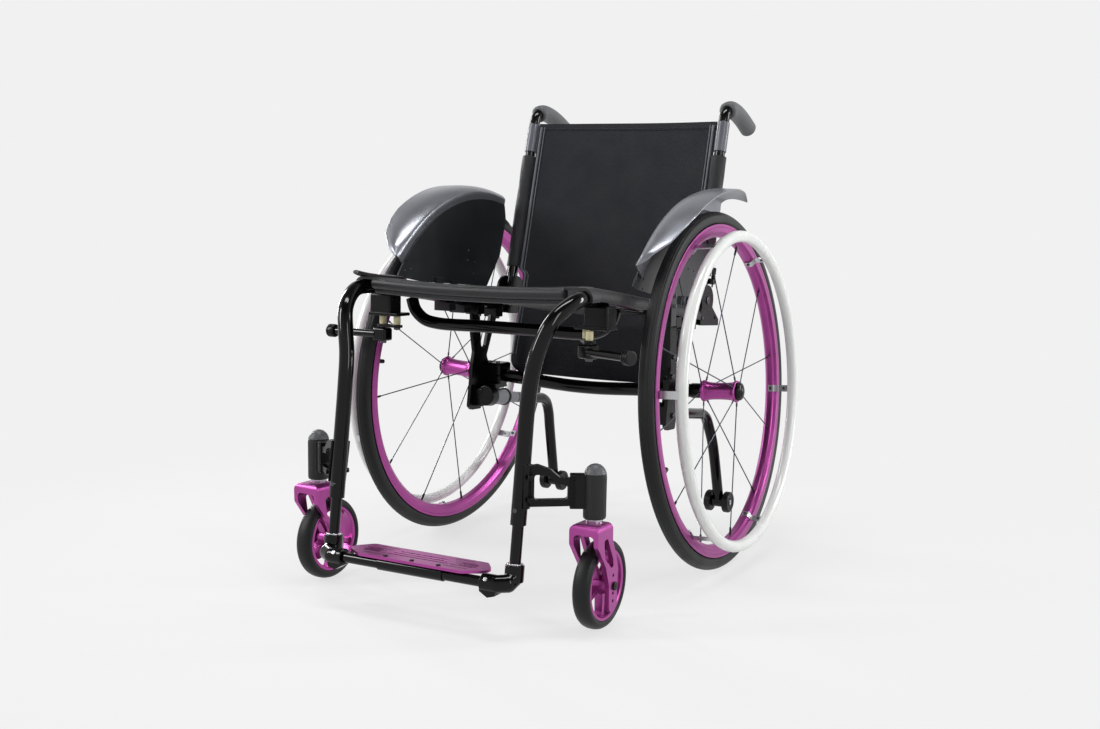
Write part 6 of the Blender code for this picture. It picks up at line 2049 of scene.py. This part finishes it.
    def _sling(self) -> None:
        """The mesh panel with its side piping, hems, stitching and the pockets on the posts."""
        steps, columns = 78, 48
        rows = []
        for i in range(steps + 1):
            share = i / steps
            up = self.bottom + (self.top - self.bottom) * (share if share > 0.06 else share**2 / 0.06)
            half = self._half(up)
            rows.append([self._cloth_point(half * (2 * j / columns - 1), up) for j in range(columns + 1)])
        panel = self.dress(
            Shape.sheet(rows, self.cloth), "back_panel_cloth", SPACER, "backrest", "back_sling", crease=60)
        lines = {
            side: [
                self._cloth_point(side.value * min(0.1725, self._half(up) - 0.004), up, 0.0022)
                for up in (self.bottom + 0.032 + 0.004 * k for k in range(108))] for side in Side}
        pipes = [Shape.sweep(line, 0.0024, 12) for line in lines.values()]
        inner = [Vector((-0.0062 * copysign(1, line[0].x), 0.0006, 0)) for line in lines.values()]
        pipes += [
            Shape.sweep([p + step for p in line], 0.0012, 8) for line, step in zip(lines.values(), inner)]
        self.dress(Shape.joined(pipes), "back_piping", PIPING, "backrest")
        hems = []
        for low, high in ((self.top - 0.012, self.top + 0.0006), (self.bottom + 0.0002, self.bottom + 0.02)):
            band = []
            for k in range(7):
                up = low + (high - low) * k / 6
                half = self._half(up) - 0.0002
                band.append([self._cloth_point(half * (2 * j / 40 - 1), up, 0.0004) for j in range(41)])
            hems.append(Shape.sheet(band, self.cloth + 0.0003))
        self.dress(hems[0].gather(hems[1]), "back_hems", SPACER, "backrest")
        seams = [
            self.dresser.patterns.stitches([self._cloth_point(x, up, proud) for x, up in line], THREAD)
            for line, proud in (
                ([(0.168 * (k / 30 - 1), self.top - 0.009) for k in range(61)], 0.003),
                ([(-0.1665, 0.02 + 0.0046 * k) for k in range(61)], 0.0024),
                ([(0.1665, 0.02 + 0.0046 * k) for k in range(61)], 0.0024))]
        seam = self.dress(Shape.joined(seams), "back_stitching", THREAD, "backrest")
        for side in Side:
            self._pocket(side)

    def _pocket(self, side: Side) -> bpy.types.Object:
        """The cloth tube round one post, its seam on the inner side.

        Args:
            side: Which side.

        Returns:
            The finished piece.
        """
        x, (low, high) = side.value * self.chair.rail_x, self.pocket
        rings = []
        for k in range(53):
            up = low + (high - low) * k / 52
            ring = []
            for i in range(40):
                turn = TURN * i / 40
                fold = 0.0003 * sin(5 * turn + 90 * up) + 0.0003 * sin(60 * up)
                size = self.pocket_radius - 0.0006 + fold
                ring.append(self._at(x + size * cos(turn), size * sin(turn), up))
            rings.append(ring)
        tube = Shape.skin(rings)
        through = [self._at(x, 0, up) for up in (low - 0.01, high + 0.01)]
        tube.carve(Shape.rod(*through, self.post + SNUG, 36, SHARP))
        edge = side.value * (self.half_width - 0.002)
        join = [[self._at(edge + side.value * 0.006 * k, 0.0015 * (1 - k), up)
                 for k in (0.0, 0.5, 1.0)] for up in (low, (low + high) / 2, high)]
        tube.gather(Shape.sheet(join, 0.0026))
        return self.dress(tube, f"back_pocket_{side.label}", POCKET, "backrest")

    def build(self) -> None:
        """Builds and dresses the back."""
        for side in Side:
            self._hinge(side)
            self._post(side)
        self._sling()


@dataclass
class Seat(Assembly):
    """The seat sling wrapped round both rails, with its rolled front edge and corner flap."""

    front: float = -0.365
    rear: float = 0.028
    cloth: float = 0.003
    sag: float = 0.022
    front_sag: float = 0.004
    half_width: float = 0.178
    sag_y: float = -0.245
    roll: float = 0.0085

    def _rail(self, y: float) -> Vector:
        """The point of the right rail's middle line at a distance behind the axle.

        Args:
            y: That distance.

        Returns:
            The point.
        """
        path = self.chair.side_tube(Side.RIGHT)
        for near, far in zip(path, path[1:]):
            if far.y <= y <= near.y:
                return near.lerp(far, (near.y - y) / (near.y - far.y))
        return Vector((self.chair.rail_x, y, self.chair.rail(y)))

    def _row(self, y: float, proud: float = 0.0) -> list[Vector]:
        """Points across the sling at one place, from the left rail's outer side to the right's.

        Args:
            y: The place along the seat.
            proud: How far the row stands off the cloth.

        Returns:
            The points.
        """
        rail = self._rail(y)
        wrap = self.chair.tube + 0.0006 + self.cloth / 2 + proud
        share = min(1.0, (y - self.front) / (self.sag_y - self.front))
        sag = self.front_sag + (self.sag - self.front_sag) * share
        half = []
        for k in range(25):
            x = self.half_width * k / 24
            ripple = 0.0007 * sin(40 * y + 12 * x) * (1 - (x / self.half_width) ** 4)
            hang = sag * (1 - (x / self.half_width) ** 2)
            half.append(Vector((x, y, rail.z + wrap - hang + ripple)))
        for angle in range(90, -21, -10):
            turn = radians(angle)
            half.append(Vector((rail.x + wrap * cos(turn), y, rail.z + wrap * sin(turn))))
        return [Vector((-p.x, p.y, p.z)) for p in reversed(half[1:])] + half

    def _flap(self) -> Shape:
        """The cloth's left front corner, which stands off past the rail.

        Returns:
            The flap.
        """
        rows = []
        for k in range(13):
            t = k / 12
            y = self.front + 0.022 - 0.034 * t
            rail = self._rail(max(y, self.front))
            outer, inner = -rail.x - 0.005 - 0.004 * t, -0.13 - 0.06 * t
            rows.append([
                Vector((outer + (inner - outer) * j / 6, y,
                        rail.z + self.chair.tube + self.cloth + 0.0008 + 0.007 * t**2
                        + 0.0016 * sin(pi * j / 6)))
                for j in range(7)
            ])
        return Shape.sheet(rows, 0.0042)

    def build(self) -> None:
        """Builds and dresses the sling, its roll, hems and stitching."""
        rows = [self._row(self.front + (self.rear - self.front) * k / 64) for k in range(65)]
        sling = self.dress(
            Shape.sheet(rows, self.cloth), "seat_cloth", NYLON, "frame", "seat_sling", crease=60)
        front = self._row(self.front)
        drop = Vector((0, 0.0008, -self.roll + 0.002))
        path = smooth_path([p + drop for p in front if abs(p.x) < 0.172][::3], 0.004)
        rolls = Shape.sweep(path, self.roll, 28, 0.003)
        under = [p + Vector((0, 0.006, -0.0105)) for p in path]
        rolls.gather(Shape.sweep(under, 0.0055, 20, 0.002))
        roll = self.dress(rolls, "seat_front_roll", HEM, "frame")
        flap = self.dress(self._flap(), "seat_corner_flap", HEM, "frame")
        bands = []
        ends = ((self.front - 0.0004, self.front + 0.024), (self.rear - 0.02, self.rear + 0.0004))
        for low, high in ends:
            band = [self._row(low + (high - low) * k / 5, 0.0006) for k in range(6)]
            bands.append(Shape.sheet(band, self.cloth + 0.0012))
        hems = self.dress(bands[0].gather(bands[1]), "seat_hems", HEM, "frame")
        top = self.cloth / 2 + 0.0004
        seams = [
            self.dresser.patterns.stitches([p for p in self._row(y, top + 0.0008) if abs(p.x) < 0.17], THREAD)
            for y in (self.front + 0.021, self.rear - 0.017)]
        for x in (-0.162, -0.157, 0.157, 0.162):
            ys = [self.front + 0.026 + 0.006 * k for k in range(57)]
            line = []
            for y in ys:
                row = self._row(y, top)
                line.append(min(row, key=lambda p: abs(p.x - x)).copy())
                line[-1].x = x
            seams.append(self.dresser.patterns.stitches(line, THREAD))
        seam = self.dress(Shape.joined(seams), "seat_stitching", THREAD, "frame")


@dataclass
class Guard(SideAssembly):
    """One side guard: a flat panel with feet on the rail, and the fender over the tyre."""

    x: float = 0.21
    thickness: float = 0.003
    fender_radius: float = 0.3245
    inset: float = 0.0165
    flange: float = 0.028
    wall: float = 0.0025
    feet: tuple[float, float] = (-0.14, -0.095)
    widths: tuple[tuple[float, float], ...] = (
        (-50, 0.004), (-48, 0.018), (-42, 0.044), (-36, 0.054), (-30, 0.06), (-22, 0.062), (-12, 0.0645),
        (0, 0.062), (8, 0.056), (14, 0.048))

    def _arc(self, radius: float, angle: float) -> tuple[float, float]:
        """A point about the rear axle by its angle from the top towards the rear."""
        turn = radians(angle)
        return radius * sin(turn), self.chair.axle_z + radius * cos(turn)

    def _panel(self) -> None:
        """The panel with its holes, feet and rear stay."""
        s, chair = self.side.value, self.chair
        outline = [self._arc(self.fender_radius - self.inset, -55 + 68.2 * k / 34) for k in range(35)]
        outline += [(0.075, 0.567), (0.056, 0.5026), (0.013, 0.447), (-0.186, 0.46), (-0.236, 0.468)]
        holes = [
            circle(y, z, 0.0017, 12)
            for y, z in (
                (-0.233, 0.48), (-0.217, 0.483), (-0.2195, 0.469), (-0.231, 0.495), (-0.047, 0.512),
                (-0.0495, 0.495), (-0.027, 0.491), (-0.03, 0.4695), (-0.111, 0.5175))]
        middle = s * (self.x + self.thickness / 2)
        panel = Shape.slab(rounded(outline, 0.006, 3), self.thickness, Plane.SIDE, middle, holes, 0.0008)
        joined = []
        for y in self.feet:
            rail = chair.rail(y)
            joined.append(Shape.block((s * (chair.rail_x + chair.tube + 0.0042), y - 0.01, rail - 0.024),
                                    (s * (self.x + 0.001), y + 0.01, rail + 0.032), 0.0012))
            joined.append(Shape.block((s * (chair.rail_x - 0.01), y - 0.01, rail - 0.024),
                                    (s * (self.x - 0.001), y + 0.01, rail - 0.009), 0.0012))
        stay = [(0.03, 0.59), (0.064, 0.564), (0.088, 0.552), (0.0905, 0.56), (0.066, 0.574)]
        joined.append(Shape.slab(rounded(stay, 0.003, 3), 0.0022, Plane.SIDE, middle, (), 0.0005))
        panel.fuse(*joined)
        panel.carve(Shape.rod((s * chair.rail_x, -0.17, chair.rail(-0.17)),
                              (s * chair.rail_x, -0.06, chair.rail(-0.06)), chair.tube + SNUG, 36, SHARP))
        self.dress(panel, "side_guard", GUARD, "frame", "guard_panel", crease=30)
        screws: list[Shape] = []
        for y in self.feet:
            for rise in (0.008, 0.024):
                z = chair.rail(y) + rise
                outer = s * (self.x + self.thickness - 0.0002)
                screws.append(Shape.rod((outer, y, z), (outer + s * 0.0018, y, z), 0.0036, 18, 0.0008))
        whole = Shape.joined(screws)
        self.dress(whole, "side_guard_screws", SCREW, "frame")

    def _fender(self) -> None:
        """The curved fender: a flange beside the tyre that flares outwards over it."""
        s, half = self.side.value, self.wall / 2
        rows: list[list[Vector]] = []
        for k in range(129):
            angle = -50 + 0.5 * k
            width = along_table(self.widths, angle)
            curl = 0.007 * max(0.0, (angle - 5) / 9) ** 2
            peak = min(0.009, 0.003 + 0.25 * width) - half
            section = [(half, -self.flange + 0.0044 * k) for k in range(5)]
            for k in range(21):
                t = k / 20
                rise = -0.006 + (peak + 0.006) * (1 - (1 - t) ** 3) - (0.0025 + curl) * t**2
                section.append((half + (width - half) * t**1.25, rise))
            row = []
            for out, rise in section:
                y, z = self._arc(self.fender_radius + rise, angle)
                row.append(Vector((s * (self.x + self.thickness + TOUCH + out), y, z)))
            rows.append(row)
        fender = Shape.sheet(rows, self.wall)
        self.dress(fender, "fender", FENDER, "frame", "guard_fender", crease=50)
        lip = [row[-1] for row in rows[2:]]
        bead = Shape.sweep(lip, 0.0015, 10, 0.0005)
        self.dress(bead, "fender_lip", FENDER, "frame")

    def build(self) -> None:
        """Builds and dresses the guard."""
        self._panel()
        self._fender()


@dataclass
class Brake(SideAssembly):
    """One brake under a rail: the clamp, the swinging link and the pressing arm."""

    pivot_x: float = 0.168
    reach: float = 0.027
    y: float = -0.31
    link_z: float = 0.3955
    link_thickness: float = 0.004
    end_radius: float = 0.0085
    bushing: float = 0.0055
    bushing_height: float = 0.0145
    bar_y: float = -0.318
    bar_z: float = 0.382
    bar_radius: float = 0.006
    bar_end: float = 0.283
    knob: float = 0.0105
    pin_end: float = 0.0145
    ratio: float = -0.571

    def _upright(self, x: float, low: float, high: float, radius: float, sides: int = 24) -> Shape:
        """A round pin that stands at a distance from the middle plane."""
        place = self.side.value * x
        return Shape.rod((place, self.y, low), (place, self.y, high), radius, sides, 0.0005)

    def _about(self, x: float, angle: float) -> Matrix:
        """A turn about the upright line at a distance from the middle plane."""
        spot = Vector((self.side.value * x, self.y, 0))
        return Matrix.Translation(spot) @ Matrix.Rotation(angle, 4, "Z") @ Matrix.Translation(-spot)

    def build(self) -> None:
        """Builds and dresses the brake in the place that the photograph shows."""
        s, chair = self.side.value, self.chair
        low, high = self.link_z - self.link_thickness / 2, self.link_z + self.link_thickness / 2
        ceiling = high + self.bushing_height
        rail_x, y = chair.rail_x, self.y
        clamp = Shape.block(
            (s * (rail_x - 0.0195), y - 0.015, ceiling + 0.002),
            (s * (rail_x + 0.0195), y + 0.015, chair.rail(y) - 0.0095), 0.003, 3)
        base = Shape.block(
            (s * (self.pivot_x - 0.0125), y - 0.017, ceiling),
            (s * (rail_x + 0.0205), y + 0.017, ceiling + 0.005), 0.0012)
        clamp.fuse(base, self._upright(self.pivot_x, low - 0.004, ceiling + 0.002, 0.003))
        clamp.carve(
            Shape.sweep([p for p in chair.side_tube(self.side) if p.y < -0.25], chair.tube + SNUG, 36, SHARP))
        self.dress(clamp, "brake_block", BLACK_METAL, "frame", "brake_clamp")
        bolts = [
            Shape.rod((s * x, y + dy, ceiling + 0.001), (s * x, y + dy, ceiling - 0.0008), 0.0034, 18)
            for x in (rail_x - 0.0065, rail_x + 0.0135) for dy in (-0.0105, 0.0105)]
        bolts.append(self._upright(self.pivot_x, low - 0.0033, low - TOUCH, 0.0052))
        self.dress(Shape.joined(bolts), "brake_screws", SCREW, "frame")
        self.dress(
            self._upright(self.pivot_x, high + TOUCH, ceiling - 0.0002, self.bushing, 32), "brake_bushing",
            BUSHING, "frame")
        swung = self.side.pick(0.0, radians(-52))
        turn = self._about(self.pivot_x, swung)
        far = self.pivot_x + self.reach
        outline = arc(self.pivot_x, 0, self.end_radius, 90, 270, 18)
        outline += [(2 * self.pivot_x + self.reach - px, -py) for px, py in outline]
        outline = [(s * px, self.y + py) for px, py in outline]
        hole = circle(s * self.pivot_x, self.y, 0.0032, 20)
        link = Shape.slab(outline, self.link_thickness, Plane.LEVEL, self.link_z, [hole], 0.0006)
        link.fuse(self._upright(far, self.bar_z - self.pin_end, ceiling - 0.0018, 0.0029))
        body = "brake_link"
        self.dress(link.place(turn), "brake_lever", BLACK_METAL, body, body)
        sleeve = self._upright(far, high + 0.0001, ceiling - 0.0013, self.bushing, 32).place(turn)
        self.dress(sleeve, "brake_link_bushing", BUSHING, body)
        nut = self._upright(far, self.bar_z - self.pin_end, self.bar_z - 0.0108, 0.0052).place(turn)
        self.dress(nut, "brake_link_nut", SCREW, body)

        press = turn @ self._about(far, self.ratio * swung)
        arm = Shape.block(
            (s * (far - 0.0125), y - 0.0125, self.bar_z - 0.0105),
            (s * (far + 0.0125), y + 0.0085, self.bar_z + 0.01), 0.0035, 3)
        ends = [(s * (far + 0.008), self.bar_y, self.bar_z), (s * self.bar_end, self.bar_y, self.bar_z)]
        arm.fuse(Shape.rod(*ends, self.bar_radius, 28))
        arm.carve(self._upright(far, self.bar_z - 0.03, self.bar_z + 0.03, 0.0032))
        body = "brake_arm"
        self.dress(arm.place(press), "brake_bar", PAINT, body, body)
        knob = Shape.rod(
            (s * (self.bar_end - 0.001), self.bar_y, self.bar_z),
            (s * (self.bar_end + 0.0125), self.bar_y, self.bar_z), self.knob, 40, 0.0022)
        for k in range(2):
            spot = s * (self.bar_end + 0.003 + 0.005 * k)
            knob.carve(Shape.lathe([
                (self.knob - 0.0006, -0.0006), (self.knob + 0.002, -0.0006),
                (self.knob + 0.002, 0.0006), (self.knob - 0.0006, 0.0006),
            ], 40, closed=True).place(
                Matrix.Translation((spot, self.bar_y, self.bar_z)) @ ACROSS))
        self.dress(knob.place(press), "brake_knob", PLASTIC, body)


@dataclass(frozen=True)
class Lamp:
    """A flat lamp that looks at the chair: where it stands, its size and its power in watts."""

    name: str
    place: tuple[float, float, float]
    size: tuple[float, float]
    power: float
    aim: tuple[float, float, float] = (0.0, 0.0, 0.42)


@dataclass
class Studio:
    """The pale floor and background, the lamps and the camera."""

    shift: float
    pale: str = "F1F1F1"
    fill: float = 0.3
    ceiling: float = 0.15
    camera_place: tuple[float, float, float] = (0.9815, -1.8422, 0.5567)
    azimuth: float = 25.593
    elevation: float = 7.777
    roll: float = 1.618
    lens: float = 39.28
    lens_shift: tuple[float, float] = (-0.07658, 0.02606)
    lamps: tuple[Lamp, ...] = (
        Lamp("box_left", (-2.3, -2.0, 1.9), (0.5, 1.3), 60.0),
        Lamp("box_right", (2.6, -1.3, 1.7), (0.5, 1.8), 28.0),
        Lamp("box_top", (0.1, -0.2, 3.0), (1.7, 0.5), 44.0),
        Lamp("strip_left", (-2.5, 0.7, 1.2), (0.3, 1.7), 40.0),
        Lamp("strip_right", (2.3, 1.5, 1.2), (0.3, 1.7), 40.0))

    @staticmethod
    def _shown(tree: bpy.types.NodeTree) -> bpy.types.NodeSocket:
        """One where the eye, a mirror or glass sees the surface, and nought for its light.

        Args:
            tree: The tree that asks.

        Returns:
            The socket.
        """
        path = add_node(tree, "ShaderNodeLightPath", get=None)
        first = add_node(
            tree, "ShaderNodeMath", {0: path.outputs["Is Camera Ray"], 1: path.outputs["Is Glossy Ray"]},
            operation="MAXIMUM")
        return add_node(
            tree, "ShaderNodeMath", {0: first, 1: path.outputs["Is Transmission Ray"]}, operation="MAXIMUM")

    def _world(self) -> None:
        """A plain pale world: white to the eye, softer as light."""
        world = bpy.data.worlds.new("pale studio")
        bpy.context.scene.world = world
        world.use_nodes = True
        tree = world.node_tree
        tree.nodes.clear()
        place = add_node(tree, "ShaderNodeTexCoord", get="Object")
        height = add_node(tree, "ShaderNodeSeparateXYZ", {0: place}, get="Z")
        seen = add_node(tree, "ShaderNodeMapRange", {0: height, 1: 0.42, 2: 0.85, 3: 1.0, 4: self.ceiling})
        strength = add_node(tree, "ShaderNodeMix", {0: self._shown(tree), 2: self.fill, 3: seen})
        light = add_node(tree, "ShaderNodeBackground", {"Color": linear(self.pale), "Strength": strength})
        add_node(tree, "ShaderNodeOutputWorld", {"Surface": light})

    def _floor(self) -> None:
        """A wide floor that melts into the background and keeps the shadow."""
        bm = bmesh.new()
        bmesh.ops.create_grid(bm, x_segments=2, y_segments=2, size=30.0)
        mesh = bpy.data.meshes.new("studio_floor")
        bm.to_mesh(mesh)
        bm.free()
        floor = linked("studio_floor", mesh)
        finish = bpy.data.materials.new("pale studio paper, matt")
        finish.use_nodes = True
        tree = finish.node_tree
        tree.nodes.clear()
        matt = add_node(tree, "ShaderNodeBsdfDiffuse", {"Color": linear("DADADA")})
        glow = add_node(tree, "ShaderNodeEmission", {"Color": linear(self.pale), "Strength": 1.0})
        place = add_node(tree, "ShaderNodeTexCoord", get="Object")
        away = add_node(tree, "ShaderNodeVectorMath", {0: place}, get="Value", operation="LENGTH")
        plain = add_node(
            tree, "ShaderNodeMapRange", {0: away, 1: 0.45, 2: 1.25, 3: 0.78, 4: 1.0},
            interpolation_type="SMOOTHSTEP")
        share = add_node(tree, "ShaderNodeMath", {0: self._shown(tree), 1: plain}, operation="MULTIPLY")
        mixed = add_node(tree, "ShaderNodeMixShader", {0: share, 1: matt, 2: glow})
        add_node(tree, "ShaderNodeOutputMaterial", {"Surface": mixed})
        mesh.materials.append(finish)

    def _camera(self) -> None:
        """The camera as the photograph was taken, a little rolled and shifted."""
        a, e, roll = (radians(v) for v in (self.azimuth, self.elevation, self.roll))
        back = Vector((sin(a) * cos(e), -cos(a) * cos(e), sin(e)))
        right = Vector((cos(a), sin(a), 0))
        up = back.cross(right)
        right, up = (cos(roll) * right + sin(roll) * up, cos(roll) * up - sin(roll) * right)
        turn = Matrix((right, up, back)).transposed().to_4x4()
        data = bpy.data.cameras.new("camera")
        data.lens, data.sensor_width, data.sensor_fit = self.lens, 36.0, "HORIZONTAL"
        data.shift_x, data.shift_y = self.lens_shift
        camera = linked("camera", data)
        x, y, z = self.camera_place
        camera.matrix_world = Matrix.Translation((x, y + self.shift, z)) @ turn
        bpy.context.scene.camera = camera

    def build(self) -> None:
        """Sets the stage."""
        self._world()
        self._floor()
        for lamp in self.lamps:
            data = bpy.data.lights.new(lamp.name, "AREA")
            data.shape = "RECTANGLE"
            data.size, data.size_y = lamp.size
            data.energy = lamp.power
            item = linked(lamp.name, data)
            place = Vector(lamp.place)
            item.location = place
            item.rotation_euler = (place - Vector(lamp.aim)).to_track_quat("Z", "Y").to_euler()
            item.visible_camera = False
        self._camera()
        bpy.context.scene.view_settings.view_transform = "Standard"


def main() -> None:
    """Builds the studio and then every assembly, and logs how many pieces were made and which imported nodes
    still show.
    """
    logging.basicConfig(level=logging.INFO, format="%(message)s")
    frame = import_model()
    chair = Layout()
    low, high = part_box("rear_tyre_right")
    dresser = Dresser((low.y + high.y) / 2)
    Studio(dresser.shift).build()
    FrameTubes(chair, dresser).build()
    for side in Side:
        for assembly in (RearWheel, AxleMount, AntiTip, Caster, Guard, Brake):
            assembly(chair, dresser, side).build()
    Footrest(chair, dresser).build()
    Back(chair, dresser).build()
    Seat(chair, dresser).build()
    shown = [name for name, node in frame["nodes"].items() if not node.hide_render]
    LOG.info("%d pieces made; packed nodes still shown: %s", dresser.count, shown)


if __name__ == "__main__":
    main()
